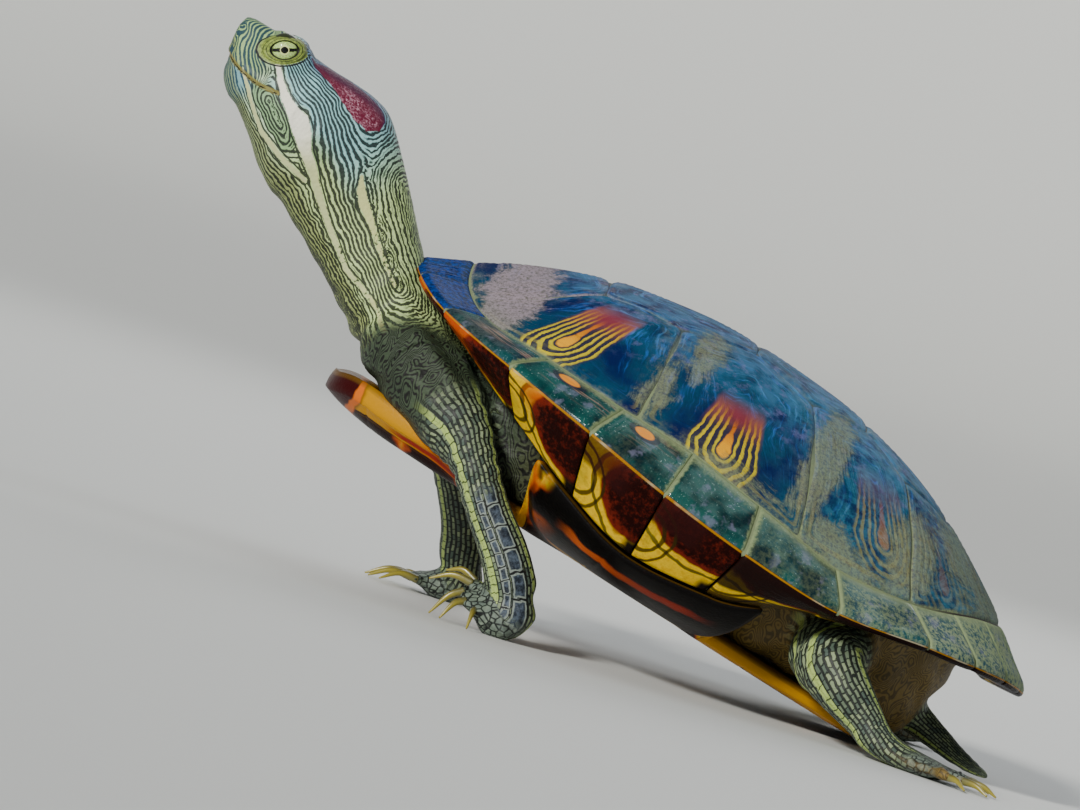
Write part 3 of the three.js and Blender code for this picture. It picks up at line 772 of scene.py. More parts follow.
TAIL_ROWS = on_shell((156, 0, 18, 8, 8), (170, -1, 15, 6.4, 6.8)) + on_floor(
    (181, -4, 9, 4.4, 4.8), (191, -8, 4.4, 3, 3.3), (200, -13, 1.6, 1.8, 2))


def flipped(rows, side):
    """Rows or places given for the right side, on that side of the animal."""
    return [(row[0], row[1] * side, *row[2:]) for row in rows]


def toe_places(leg):
    """Claw bases and tips of a leg, and the roots of its toes across the front of the foot."""
    side = leg["side"]
    across = flipped([leg["foot_across"]], side)[0]
    centre, _, wide, _, half = sweep_frame(flipped(leg["foot"], side), across, np.array([1.0]))
    for i, (base, tip) in enumerate(leg["toes"]):
        spread = 2 * i / (len(leg["toes"]) - 1) - 1
        root = centre[0] + wide[0] * half[0] * spread * 0.72
        base, tip = np.array(flipped(on_floor(base, tip), side))
        yield root, base, tip


def limb(leg):
    """Leg, foot and toes as overlapping closed tubes."""
    side, radius = leg["side"], leg["toe_radius"]
    foot_across = flipped([leg["foot_across"]], side)[0]
    parts = [
        sweep(flipped(leg["path"], side), (0.35, side, 0), 24, 28, 2, 3),
        sweep(flipped(leg["foot"], side), foot_across, 10, 24, 2.5, 1, NECK_POWER),
    ]
    for root, base, _ in toe_places(leg):
        way = base - root
        rows = [(*root, radius * 1.15, radius * 1.3),
                (*(root + 0.55 * way + (0, 0, 0.8)), radius * 1.1, radius * 1.15),
                (*(base + 0.6 * unit(way)), radius, radius)]
        parts.append(sweep(rows, (-way[1], way[0], 0), 8, 14, 0.5, 0.8))
    return joined(parts)


def body_reach(angle, radius):
    """How far out the body reaches inside the shell."""
    return (radius - BRIM - WALL - SLACK - 5 * (1 - bridge(angle)) * np.sin(angle) ** 2
            - 9 * smooth(0.6, 1, np.cos(angle)))


def girdle(first, last):
    """Body wall seen in the limbs' openings: a rounded slab carried along the inside of the
    shell between two rays, leaning in from the roof down to the edge of the plastron."""
    angle = np.radians(np.linspace(first, last, 60))
    radius, dx, dy = ray(angle)
    half_wall = 5.5
    high = body_reach(angle, radius) - half_wall
    low = np.minimum(high, lobe_reach(angle) - 5 - half_wall)
    roof = dome(angle, high / radius) - BONE - SLACK + 0.5
    floor = PLASTRON_THICKNESS + SLACK - 1
    top, foot = from_apex(angle, high, roof), from_apex(angle, low, floor)
    out = np.stack([dx * math.cos(TILT), dy, -dx * math.sin(TILT)], -1)
    return tube((top + foot) / 2, (top - foot) / 2, half_wall * out, 40, 3, 3, 3.2)


NECK_T = np.linspace(0, 1, 700)


def neck_frame(t):
    """Centre, up, way on, half-depth and half-width of the head's and neck's section at t."""
    x, z, tilt, depth, width = rows_through(NECK_ROWS)(t).T
    centre = stand(x, 0, z)
    ux, uz = lean(np.sin(np.radians(tilt)), np.cos(np.radians(tilt)))
    up = np.stack([ux, np.zeros_like(ux), uz], -1)
    on = np.stack([uz, np.zeros_like(ux), -ux], -1)
    return centre, up, on, depth, width


NECK = neck_frame(NECK_T)
NECK_LENGTH = lengths_along(NECK[0])


def head_and_neck():
    """The head and neck as one closed tube of upright ovals."""
    t = np.linspace(0, 1, 90)
    centre, up, _, depth, width = neck_frame(t)
    across = np.zeros_like(up)
    across[:, 1] = width
    return tube(centre, up * depth[:, None], across, 64, SNOUT_CAP, 8, NECK_POWER)


def on_neck(points):
    """Unrolls points onto the neck: t of their section, angle round it from the top (0) to the
    throat (pi), and how far out they are as a share of the section."""
    def section(part):
        centre, _, on, _, _ = NECK
        off = np.abs(part @ on.T - dots(centre, on))
        return NECK_T[np.argmin(off + 0.15 * np.abs(part[:, :1] - centre[:, 0]), axis=1)]

    t = in_chunks(section, points)
    centre, up, _, depth, width = neck_frame(t)
    h = dots(points - centre, up) / depth
    w = np.abs(points[:, 1]) / width
    share = (np.abs(h) ** NECK_POWER + w ** NECK_POWER) ** (1 / NECK_POWER)
    return t, np.arctan2(w ** (NECK_POWER / 2), signed_power(h, NECK_POWER / 2)), share


# ---- one skin over the soft parts

def remeshed(shape, cube):
    """One closed surface round a shape's overlapping parts, from small cubes."""
    piece = make_object("draft", shape, None)
    modifier = piece.modifiers.new("merge", "REMESH")
    modifier.mode = "VOXEL"
    modifier.voxel_size = cube * MM
    graph = bpy.context.evaluated_depsgraph_get()
    mesh = piece.evaluated_get(graph).to_mesh()
    points = np.empty(len(mesh.vertices) * 3, np.float32)
    mesh.vertices.foreach_get("co", points)
    corners = np.empty(len(mesh.loops), np.int32)
    mesh.loops.foreach_get("vertex_index", corners)
    made = Shape(points.reshape(-1, 3) / MM, corners.reshape(-1, 4))
    draft = piece.data
    bpy.data.objects.remove(piece)
    bpy.data.meshes.remove(draft)
    return made


def summed(index, rows, size):
    """Sums of the rows that share an index, for each index below size."""
    return np.stack([np.bincount(index, column, minlength=size) for column in rows.T], -1)


def relaxed(points, quads, weight, rounds):
    """Each round moves every point its weight of the way to the mean of its neighbours."""
    a = quads.ravel()
    b = np.roll(quads, -1, 1).ravel()
    count = np.maximum(np.bincount(a, minlength=len(points)), 1)[:, None]
    points = points.copy()
    for _ in range(rounds):
        points += (summed(a, points[b], len(points)) / count - points) * weight[:, None]
    return points


def normals(points, quads, tris):
    """Unit normals of the points: the sum of their faces' own."""
    across = np.cross(points[quads[:, 2]] - points[quads[:, 0]],
                      points[quads[:, 3]] - points[quads[:, 1]])
    flat = np.cross(points[tris[:, 1]] - points[tris[:, 0]],
                    points[tris[:, 2]] - points[tris[:, 0]])
    corners = np.concatenate([quads.ravel(), tris.ravel()])
    ways = np.concatenate([np.repeat(across, 4, 0), np.repeat(flat, 3, 0)])
    return unit(summed(corners, ways, len(points)))


def refined(shape, chosen):
    """Cuts each chosen quad into four. A neighbour with a cut edge becomes a fan of triangles."""
    quads, size = shape.quads, len(shape.points)
    ahead = np.roll(quads, -1, 1)
    key = np.minimum(quads, ahead) * size + np.maximum(quads, ahead)
    cut = np.unique(key[chosen])
    place = np.clip(np.searchsorted(cut, key), 0, len(cut) - 1)
    is_cut = cut[place] == key
    middle = size + place
    mids = (shape.points[cut // size] + shape.points[cut % size]) / 2
    centres = shape.points[quads].mean(1)
    hub = size + len(cut) + np.arange(len(quads))
    fan = is_cut.any(1) & ~chosen
    before = np.roll(middle, 1, 1)
    small = np.stack([quads, middle, np.broadcast_to(hub[:, None], quads.shape), before], -1)
    tris = []
    for k in range(4):
        a, b, m = quads[:, k], ahead[:, k], middle[:, k]
        whole = fan & ~is_cut[:, k]
        split = fan & is_cut[:, k]
        tris += [np.stack([a[whole], b[whole], hub[whole]], -1),
                 np.stack([a[split], m[split], hub[split]], -1),
                 np.stack([m[split], b[split], hub[split]], -1)]
    points = np.concatenate([shape.points, mids, centres])
    new_quads = np.concatenate([quads[~chosen & ~fan], small[chosen].reshape(-1, 4)])
    new_tris = np.concatenate(tris)
    used = np.unique(np.concatenate([new_quads.ravel(), new_tris.ravel()]))
    renumber = np.full(len(points), -1)
    renumber[used] = np.arange(len(used))
    return Shape(points[used], renumber[new_quads], renumber[new_tris])


# Where the dark lines of the head and neck run: the line's number, then places on the animal's
# side as (x, z) in the shell's frame. Between two numbers lies one pale stripe.
LINES = [
    (4, [(-68.5, 61), (-64, 57), (-58.5, 53.5), (-50, 48.5), (-42, 46.5), (-33, 41.5),
         (-22.5, 36), (-12.5, 30.5), (-4.5, 26)]),
    (5, [(-68, 62.3), (-63, 58.3), (-57, 54.3), (-49, 50.2), (-39.5, 48), (-31.5, 42.8),
         (-24, 38.6), (-16, 34), (-8, 29.5)]),
    (6, [(-63, 60.5), (-57, 56), (-51, 53), (-45.5, 51.5), (-43.5, 52.5), (-46.5, 55.5),
         (-49.5, 58.5), (-53, 60.5), (-56, 62.5), (-58.5, 65.5), (-61.5, 68.5)]),
    (8, [(-59.5, 60), (-55.5, 56.8), (-50, 54), (-47.5, 53.7), (-49, 56), (-53.5, 59.3)]),
    (9.6, [(-57, 60.3), (-54, 58), (-50.5, 55.6)]),
    (6, [(-59, 69.5), (-55, 66), (-52.5, 63), (-49.5, 61.5), (-46, 62.5), (-44.5, 59),
         (-43.5, 56.5), (-39, 53), (-34, 48.5), (-28.5, 43.8), (-21, 39), (-14, 35), (-6.5, 31)]),
    (8, [(-56.5, 70), (-51, 66.5), (-46, 65.5), (-42.5, 62.5), (-39, 58), (-34, 52.5),
         (-27.5, 47), (-20, 42), (-11.5, 37)]),
    (11, [(-56, 71.5), (-49.5, 69.5), (-43.5, 67.5), (-39, 64), (-33.5, 59), (-28, 54.5),
          (-23.5, 49.5), (-16, 44), (-5.5, 36.5)]),
    (13, [(-55, 73), (-48, 71.5), (-41.5, 69), (-36, 65), (-30, 60.5), (-25.5, 55.5),
          (-23.5, 51), (-17, 47), (-10, 42), (-3.5, 37)]),
    (15, [(-54, 73.6), (-46.5, 72), (-40, 69), (-33.5, 65.5), (-29, 64.3), (-26, 66),
          (-25.2, 69.5), (-27, 73.5), (-30, 75.4)]),
    (14, [(-33, 63.8), (-28, 61.8), (-24.5, 62.8)]),
    (13.38, [(-25, 58), (-23.5, 54.5), (-21, 50.5), (-17.5, 48), (-12.5, 44), (-7, 40),
             (-1.5, 36)]),
    (12, [(-21.5, 60), (-19, 55.5), (-15, 51), (-9, 45.5), (-3, 41)]),
    (9, [(-16.5, 60), (-13.5, 56), (-9.5, 52), (-4, 47)]),
]
SNOUT_LINES = [
    (5, [(-64.1, 67.5), (-61.0, 65.5), (-57.9, 63.2)]),
    (4, [(-65.4, 67.7), (-62.4, 65.1), (-59.6, 62.9)]),
    (3, [(-67.0, 69.1), (-64.2, 66.0), (-61.3, 62.8)]),
    (2, [(-69.1, 73.3), (-68.1, 69.9), (-65.9, 66.4), (-63.1, 62.9)]),
    (1, [(-70.4, 73.7), (-69.1, 69.3), (-67.1, 65.6), (-64.6, 62.9)]),
    (0, [(-71.5, 74.0), (-70.4, 69.5), (-68.6, 65.7), (-66.4, 63.1)]),
    (-1, [(-72.6, 74.1), (-71.9, 69.5), (-70.3, 66.1), (-68.2, 63.6)]),
    (-2, [(-73.5, 74.0), (-73.2, 69.7), (-71.9, 66.6), (-70.1, 64.2)]),
    (-3, [(-74.2, 73.5), (-74.2, 69.5), (-73.4, 67.1), (-72.1, 65.1)]),
    (6, [(-61, 69.5), (-58.7, 66.5), (-56.5, 63.2)]),
]
# Line numbers along the midline: distance along the head and neck, number.
THROAT = [(4, 0.4), (12, 0), (25, 0), (40, 0), (55, 0), (70, 0), (85, 0), (100, 0), (112, 0)]
NAPE = [(14, 12), (22, 13), (31, 14.6), (40, 14.6), (50, 13), (55, 10), (60, 7), (67, 5),
        (75, 3.8), (85, 3.4), (100, 3)]
MUZZLE = [(0.5, -4.5), (3, -2), (6, 1), (9, 3.5), (14, 5)]
PATCH = [  # outline of the red patch behind the eye
    (-54.8, 74.4), (-50.5, 73.4), (-45.5, 72), (-40.5, 69.6), (-35.5, 67.3), (-30.5, 66.3),
    (-27.2, 68.4), (-27, 71.6), (-29.6, 74), (-34, 75.3), (-41, 76), (-48, 76),
]
BANDS = [  # broad pale bands of the side: places (x, z) in the shell's frame with half-widths
    [(-59.9, 69.0, 0.7), (-57.2, 65.9, 0.8), (-53.9, 63.1, 0.9), (-50, 60.6, 1.1),
     (-46.7, 58.7, 1.7), (-44, 56.4, 1.5), (-41.1, 53.3, 1.1), (-37.5, 50.6, 0.95),
     (-34.4, 47.6, 0.85), (-30.4, 44.2, 0.8), (-25.6, 40.3, 0.8), (-20.5, 36.6, 0.7),
     (-15.4, 32.8, 0.75), (-4.7, 29.3, 0.6), (4.2, 25.4, 0.4)],
    [(-67.5, 63.2, 0.4), (-65, 60.7, 0.6), (-62, 57.9, 0.7), (-58, 54.5, 0.75),
     (-54.4, 51.8, 0.8), (-50.1, 50.1, 0.75), (-45.9, 48.7, 0.65), (-41.9, 47.8, 0.6),
     (-37.3, 46.8, 0.5)],
    [(-25.4, 56.4, 0.3), (-23.7, 53.5, 0.85), (-20.9, 50.3, 1.0), (-17.8, 48.3, 0.8),
     (-14.4, 45.5, 0.55), (-10.4, 42, 0.5), (-6, 38.9, 0.45), (-1.7, 36.1, 0.4)],
]
mouth_line = curve([(-76, 65.6), (-73.5, 64.8), (-70.5, 63.2), (-67, 62.3), (-63.5, 61.8),
                    (-60, 61.9), (-56, 62.6), (-50, 64)])
MOUTH_CORNER = -56.4
UNROLLED = 13.0  # mm of the unrolled skin for each radian round the neck


def unroll(places):
    """Places (x, z) on the animal's side as distances along and round the neck."""
    x, z = np.array(places, float).T
    t, _, _ = on_neck(stand(x, 0, z))
    centre, up, _, depth, _ = neck_frame(t)
    h = np.clip(dots(stand(x, 0, z) - centre, up) / depth, -1, 1)
    around = np.arccos(signed_power(h, NECK_POWER / 2))
    return np.stack([np.interp(t, NECK_T, NECK_LENGTH), around * UNROLLED], -1)


def plate_surface(places, numbers, ease=0.08):
    """Thin-plate surface: a plane plus a sum of r * r * log(r) round each place, solved so that
    it comes within ease of the numbers, as a function of points."""
    size = len(places)
    gap = np.linalg.norm(places[:, None] - places[None], axis=-1)
    bend = gap ** 2 * np.log(gap + 1e-9) + ease * np.eye(size) * 10
    flat = np.concatenate([np.ones((size, 1)), places], 1)
    system = np.block([[bend, flat], [flat.T, np.zeros((3, 3))]])
    weight = np.linalg.solve(system, np.concatenate([numbers, np.zeros(3)]))

    def height(part):
        r = np.linalg.norm(part[:, None] - places, axis=-1)
        return (r * r * np.log(r + 1e-9)) @ weight[:size] + weight[size] + part @ weight[size + 1:]

    return lambda points: in_chunks(height, points)


def guided(lines, midlines):
    """The surface of line numbers through lines on the side and along the midlines."""
    places = [unroll(line) for _, line in lines]
    numbers = [[number] * len(line) for number, line in lines]
    for around, line in midlines:
        places.append([(along, around * UNROLLED) for along, _ in line])
        numbers.append([number for _, number in line])
    return plate_surface(np.concatenate(places), np.concatenate(numbers))


def to_segment(points, a, b):
    """Share of the way from a to b that is nearest to each point, and the distance to it."""
    t = np.clip((points - a) @ (b - a) / ((b - a) @ (b - a)), 0, 1)
    return t, np.linalg.norm(points - a - t[:, None] * (b - a), axis=1)


def outline_distance(points, corners):
    """Distance from points to a closed outline, negative inside it."""
    closed = np.concatenate([corners, corners[:1]])
    nearest = np.full(len(points), 1e9)
    inside = np.zeros(len(points), bool)
    for a, b in zip(closed, closed[1:]):
        nearest = np.minimum(nearest, to_segment(points, a, b)[1])
        crosses = (a[1] > points[:, 1]) != (b[1] > points[:, 1])
        share = (points[:, 1] - a[1]) / (b[1] - a[1] or 1e-9)
        inside ^= crosses & (points[:, 0] < a[0] + share * (b[0] - a[0]))
    return np.where(inside, -nearest, nearest)


def band_distance(points, band):
    """Distance from points to the border of a band of changing width, negative inside it."""
    spots = unroll([place[:2] for place in band])
    halves = [place[2] for place in band]
    nearest = np.full(len(points), 1e9)
    for a, b, wide, wide_on in zip(spots, spots[1:], halves, halves[1:]):
        t, away = to_segment(points, a, b)
        nearest = np.minimum(nearest, away - wide - (wide_on - wide) * t)
    return nearest


def eye_centre(side):
    return stand(EYE[0], side * EYE[1], EYE[2])


def eye_metric(points, side):
    """Distances from an eye's centre along its long axis, across it, and out of the head."""
    dx, dy, dz = (points - eye_centre(side)).T
    cos, sin = math.cos(EYE_TILT), math.sin(EYE_TILT)
    return dx * cos + dz * sin, dz * cos - dx * sin, dy * side


def eye_offset(long, tall, out):
    """The reverse: an offset from an eye's centre, for distances as eye_metric gives."""
    cos, sin = math.cos(EYE_TILT), math.sin(EYE_TILT)
    return np.stack(np.broadcast_arrays(long * cos - tall * sin, out, long * sin + tall * cos), -1)


def head_marks(points):
    """Numbers that the skin's finish reads: line number and stripe width, distances to the red
    patch, the mouth and the eyes, and how much a point belongs to the head and neck."""
    t, around, share = on_neck(points)
    along = np.interp(t, NECK_T, NECK_LENGTH)
    spot = np.stack([along, around * UNROLLED], -1)
    main = guided(LINES, [(math.pi, THROAT), (0, NAPE)])
    snout = guided(SNOUT_LINES, [(0, MUZZLE)])
    x, _, z = unstand(points)
    over = z - mouth_line(x)
    front = smooth(-57.5, -59.5, x + 0.55 * (z - 64)) * (over > 0) * smooth(16, 12, along)

    def number(at):
        return main(at) * (1 - front) + snout(at) * front

    step = 0.5
    base = number(spot)
    slope = np.hypot(number(spot + (step, 0)) - base, number(spot + (0, step)) - base) / step
    corner = np.hypot(x - MOUTH_CORNER, over)
    mouth = np.where(x < MOUTH_CORNER, np.abs(over), corner)
    side = np.where(points[:, 1] < 0, -1, 1)
    long, tall, out = eye_metric(points, side)
    lid = np.hypot(long / LID_RING[0], tall / LID_RING[1])
    lid = np.where(out > -4, lid + 0.3 * smooth(0.6, -1.6, out), 9.0)
    neck = smooth(1.5, 1.12, share) * smooth(118, 106, along)
    patch = outline_distance(spot, unroll(PATCH))
    band = np.min([band_distance(spot, places) for places in BANDS], axis=0)
    return {
        "band": band, "line": base, "pitch": np.clip(1 / np.maximum(slope, 1e-3), 0.5, 5),
        "patch": patch, "mouth": np.where(along < 24, mouth, 9.0), "over": over, "lid": lid,
        "neck": neck, "along": along, "round": around,
    }


def limb_marks(points):
    """How much each point belongs to a fore- or hind limb or the tail, with its distance along
    that limb and its angle round it (0 at the front, pi / 2 outside)."""
    limbs = [(flipped(leg["path"] + leg["foot"][1:], leg["side"]), leg["side"], name[:4])
             for name, leg in LEGS.items()]
    found = dict.fromkeys(("fore", "hind", "tail", "down", "turn", "toe"), np.zeros(len(points)))
    nearest = np.full(len(points), 1e9)
    for path, side, kind in (*limbs, (TAIL_ROWS, 1, "tail")):
        across = (0.35 * (kind != "tail"), side, 0)
        centre, deep, wide, half_depth, half_width = sweep_frame(
            path, across, np.linspace(0, 1, 120))
        radius = (half_depth[:, 0] + half_width[:, 0]) / 2
        gap = in_chunks(
            lambda part: np.linalg.norm(part[:, None] - centre, axis=-1) - radius, points)
        index, near = gap.argmin(1), gap.min(1)
        length = lengths_along(centre)
        down, end = length[index], length[-1]
        starts = (14, 26) if kind == "hind" else (8, 18)
        belongs = smooth(4.5, 1.2, near) * smooth(*starts, down)
        off = points - centre[index]
        here = {name: belongs * (name == kind) for name in ("fore", "hind", "tail")}
        here["down"] = down
        here["turn"] = np.arctan2(dots(off, wide[index]), dots(off, deep[index]) * -side)
        here["toe"] = smooth(end - 9, end - 4, down) * (kind != "tail")
        closer = near < nearest
        nearest = np.minimum(near, nearest)
        found = {name: np.where(closer, here[name], found[name]) for name in found}
    return found


LID_TURNS = 160
LID_SHARES = np.concatenate([[-0.16, -0.08], np.linspace(0, 1, 19)])  # margin 0, outer edge 1


def lid_ring(side):
    """Swollen skin round an eye: a closed ring swept round the opening. Its section starts under
    the eyeball's surface, rolls over the margin and bulges down to below the skin round it."""
    turn = turns(LID_TURNS)[:, None]
    s = LID_SHARES[None]
    cos, sin = np.cos(turn), np.sin(turn)
    peak = 1 + 0.1 * np.abs(cos) ** 3
    long = cos * (LID_OPENING[0] * peak + (LID_RING[0] - LID_OPENING[0] * peak) * s)
    tall = sin * (LID_OPENING[1] + (LID_RING[1] - LID_OPENING[1]) * s)
    depth = size("eye") ** 2 - long ** 2 - tall ** 2
    ball_out = np.sqrt(np.maximum(depth, 1.2))
    margin = np.take_along_axis(ball_out, np.full((LID_TURNS, 1), 2), 1) + 0.5
    around = eye_centre(0) + eye_offset(long, tall, 0)
    skin_out = head_half_width(around.reshape(-1, 3)).reshape(long.shape) - EYE[1] + 0.9
    sunk = skin_out - 0.9
    rise = np.clip(1 - np.clip(s, 0, 1) ** 2.0, 0, 1) ** 0.62
    out = sunk + (margin - sunk) * rise
    creases = 0.16 * bell(s - 0.34, 0.06) + 0.14 * bell(s - 0.66, 0.07)
    out = out - creases + 0.14 * bell(s - 0.07, 0.07)
    out = np.where(s < 0, ball_out + np.where(s < -0.1, -0.35, 0.18), out)
    section = np.append(np.arange(LID_SHARES.size), (-1, 0))  # its two ends again, sunk
    long, tall, out = (v[:, section] for v in (long, tall, out))
    out[:, -2:] -= 1.6
    points = eye_centre(side) + eye_offset(long, tall, out * side)
    at = np.arange(long.size).reshape(long.shape)
    on = np.roll(at, -1, 0)
    return outwards(Shape(points, np.stack([at, on, np.roll(on, -1, 1), np.roll(at, -1, 1)], -1)))


def head_half_width(points):
    """Half-width of the head's own oval at the height of each point; 0 above and below it."""
    t, _, _ = on_neck(points)
    centre, up, _, depth, width = neck_frame(t)
    h = dots(points - centre, up) / depth
    return width * np.maximum(1 - np.abs(h) ** NECK_POWER, 0) ** (1 / NECK_POWER)


def onto_neck(points):
    """Moves points near the head and neck onto their oval sections."""
    x, _, _ = unstand(points)
    chosen = np.flatnonzero(x < 0)
    near = points[chosen]
    t, _, share = on_neck(near)
    centre, _, on, _, _ = neck_frame(t)
    ahead = dots(near - centre, on)[:, None] * on
    target = centre + ahead + (near - centre - ahead) / share[:, None]
    weight = (smooth(0.015, 0.05, t) * smooth(0.84, 0.7, t) * (np.abs(share - 1) < 0.25))[:, None]
    points = points.copy()
    points[chosen] = near + (target - near) * weight
    return points


def relief(points, marks, limbs):
    """How far the skin stands out from its first shape, in millimetres."""
    x, y, z = unstand(points)
    lid = marks["lid"]
    orbit = 1.1 * smooth(1.75, 0.95, lid) - 3.2 * smooth(0.84, 0.62, lid)
    brow = 0.5 * bell(lid - 1.25, 0.22) * (z > EYE[2])
    over, before = marks["over"], smooth(-1.5, 1.5, MOUTH_CORNER - x) * marks["neck"]
    lips = before * (
        -0.42 * bell(over, 0.42) + 0.3 * bell(over - 1.1, 0.8) - 0.28 * bell(over + 1.4, 1))
    nostril = np.hypot(x + 74.7, np.hypot(np.abs(y) - 1.35, z - 72.0))
    nose = 0.12 * bell(nostril - 1.2, 0.4) - 0.75 * bell(nostril, 0.62)
    drum = np.hypot((x + 45.5) / 4.4, (z - 60.5) / 4.9)
    drum = 0.28 * bell(drum - 1, 0.18) - 0.12 * smooth(1, 0.8, drum)
    along, around = marks["along"], marks["round"]
    fold = np.sin(along * 2 * np.pi / 8.5 + 1.2 * np.cos(1.7 * around)
                  + 0.5 * np.sin(5 * around + along / 6))
    fold = size("fold") * fold * smooth(58, 92, along) * (0.4 + 0.6 * smooth(0.5, 1.6, around))
    slack = (0.16 * np.sin(along / 1.9 + 2.2 * np.sin(around * 3)) * smooth(1.9, 2.7, around)
             * smooth(14, 30, along))
    head = (orbit + brow + lips + nose + (drum + fold + slack) * smooth(2.2, 3.4, lid))
    body = 1 - np.clip(marks["neck"] + limbs["fore"] + limbs["hind"] + limbs["tail"], 0, 1)
    crumple = (np.sin(x / 2.3 + 2.1 * np.sin(z / 4.1) + 1.7 * np.sin(y / 5.3))
               + 0.6 * np.sin(z / 1.7 + 2.4 * np.sin(x / 3.7 + y / 6.1)))
    joint = limbs["fore"] + limbs["hind"]
    bend = 0.3 * np.sin(limbs["down"] * 2 * np.pi / 5.4 + 0.8 * np.sin(2 * limbs["turn"]))
    return (head * marks["neck"] + size("crumple") * crumple * body
            + bend * joint * smooth(48, 30, limbs["down"]))


HEAD_BACK = -24  # in front of this, in the shell's frame, the skin is cut finer
PAW_HEIGHT, PAW_ASIDE, PAW_BACK = 14, 36, 100  # and below, outside and in front of these
SKIN_ROUNDS, BODY_ROUNDS = 3, 10  # of relaxing, over all the skin and behind the neck


def skin_shape():
    """One skin: the soft parts' tubes merged, relaxed where they meet, cut finer over the head
    and feet, set back onto the head's ovals, raised by the relief, with the lids added."""
    parts = [head_and_neck(), girdle(-62, 62), girdle(96, 264)]
    parts += [sweep(flipped(SHOULDER, side), (0.35, side, 0), 12, 28, 4, 4) for _, side in SIDES]
    parts += [sweep(TAIL_ROWS, (0, 1, 0), 24, 24, 2, 0.8)] + [limb(leg) for leg in LEGS.values()]
    rough = remeshed(joined(parts), size("cube"))
    points, quads = rough.points, rough.quads
    x, _, _ = unstand(points)
    points = relaxed(points, quads, np.full(len(points), 0.5), SKIN_ROUNDS)
    points = relaxed(points, quads, 0.5 * smooth(-14, 4, x), BODY_ROUNDS)
    points = onto_neck(points)
    middle = points[quads].mean(1)
    mx, my, _ = unstand(middle)
    paw = (middle[:, 2] < PAW_HEIGHT) & (np.abs(my) > PAW_ASIDE) & (mx < PAW_BACK)
    fine = refined(Shape(points, quads), (mx < HEAD_BACK) | paw)
    points = onto_neck(fine.points)
    points[:, 2] = np.maximum(points[:, 2], 0)
    limbs = limb_marks(points)
    marks = skin_marks(points)
    out = normals(points, fine.quads, fine.tris)
    points = points + out * relief(points, marks, limbs)[:, None]
    points[:, 2] = np.maximum(points[:, 2], 0)
    return joined([Shape(points, fine.quads, fine.tris, **marks, **limbs),
                   *[lid_shape(side) for _, side in SIDES]])


def skin_marks(points):
    """head_marks where the neck may be, and harmless numbers elsewhere."""
    x, y, _ = unstand(points)
    near = np.flatnonzero((x < 26) & (np.abs(y) < 30))
    found = head_marks(points[near])
    plain = {"fold": 9, "band": 9, "line": 0.5, "pitch": 3, "patch": 9, "mouth": 9, "over": 9,
             "lid": 9, "neck": 0, "along": 150, "round": 2}
    marks = {}
    for name, value in plain.items():
        marks[name] = np.full(len(points), float(value))
        if name in found:
            marks[name][near] = found[name]
    return marks


def lid_shape(side):
    """A lid ring with the marks that the skin's finish reads."""
    ring = lid_ring(side)
    marks = skin_marks(ring.points)
    marks["neck"] = np.ones(len(ring.points))
    marks["fold"] = np.tile(np.append(LID_SHARES, (1, 0)), LID_TURNS)
    return Shape(ring.points, ring.quads, ring.tris, **marks)


def eye_shape(side):
    """An eyeball: its pole looks out, and it carries its distances along and across the lids."""
    from_pole = np.linspace(0, np.pi, 42)[1:-1, None]
    turn = turns(72)
    out, flat = np.cos(from_pole), np.sin(from_pole)
    long, tall = flat * np.cos(turn), flat * np.sin(turn)
    centre, radius = eye_centre(side), size("eye")
    pole = np.array([0, side * radius, 0])
    return outwards(skinned(
        centre + pole, centre + radius * eye_offset(long, tall, out * side), centre - pole,
        long=long * radius, tall=tall * radius))


def claw_shapes(leg):
    """A leg's claws: curved cones, a little flattened, with the distance along each."""
    for _, base, tip in toe_places(leg):
        radius = leg["toe_radius"] * size("claw")
        way = tip - base
        start = base - 0.8 * unit(way)
        middle = start + (tip - start) * 0.5 + (0, 0, leg["claw_arch"])
        rows = [(*start, radius, radius * 0.8), (*middle, radius * 0.72, radius * 0.6),
                (*tip, 0.24, 0.24)]
        centre, deep, wide, depth, width = sweep_frame(rows, (-way[1], way[0], 0),
                                                       np.linspace(0, 1, 25))
        taper = np.linspace(0, 1, 25)[:, None]
        c, s = np.cos(turns(16))[:, None], np.sin(turns(16))[:, None]
        section = c * (deep * depth)[:, None] + s * (wide * width)[:, None]
        points = centre[:, None] + section
        points[..., 2] = np.maximum(points[..., 2], 0)
        top = c.T * np.sign(deep[:, 2].mean())
        yield outwards(skinned(centre[0], points, tip, reach=taper, top=top))


# ---- finishes

def colour(code):
    """A screen colour, such as 3a7f5c, as linear red, green, blue."""
    parts = [int(code[i:i + 2], 16) / 255 for i in (0, 2, 4)]
    return tuple(v / 12.92 if v <= 0.04045 else ((v + 0.055) / 1.055) ** 2.4 for v in parts)


class Value:
    """A node's output in an expression: arithmetic on it adds Math nodes."""

    def __init__(self, finish, socket):
        self.finish = finish
        self.socket = socket

    def math(self, operation, *others):
        return self.finish.node("ShaderNodeMath", {"operation": operation}, self, *others)

    def __add__(self, other):
        return self.math("ADD", other)

    def __sub__(self, other):
        return self.math("SUBTRACT", other)

    def __rsub__(self, other):
        return self.math("MULTIPLY_ADD", -1, other)

    def __mul__(self, other):
        return self.math("MULTIPLY", other)

    def __truediv__(self, other):
        return self.math("DIVIDE", other)

    def __abs__(self):
        return self.math("ABSOLUTE")

    __radd__, __rmul__ = __add__, __mul__


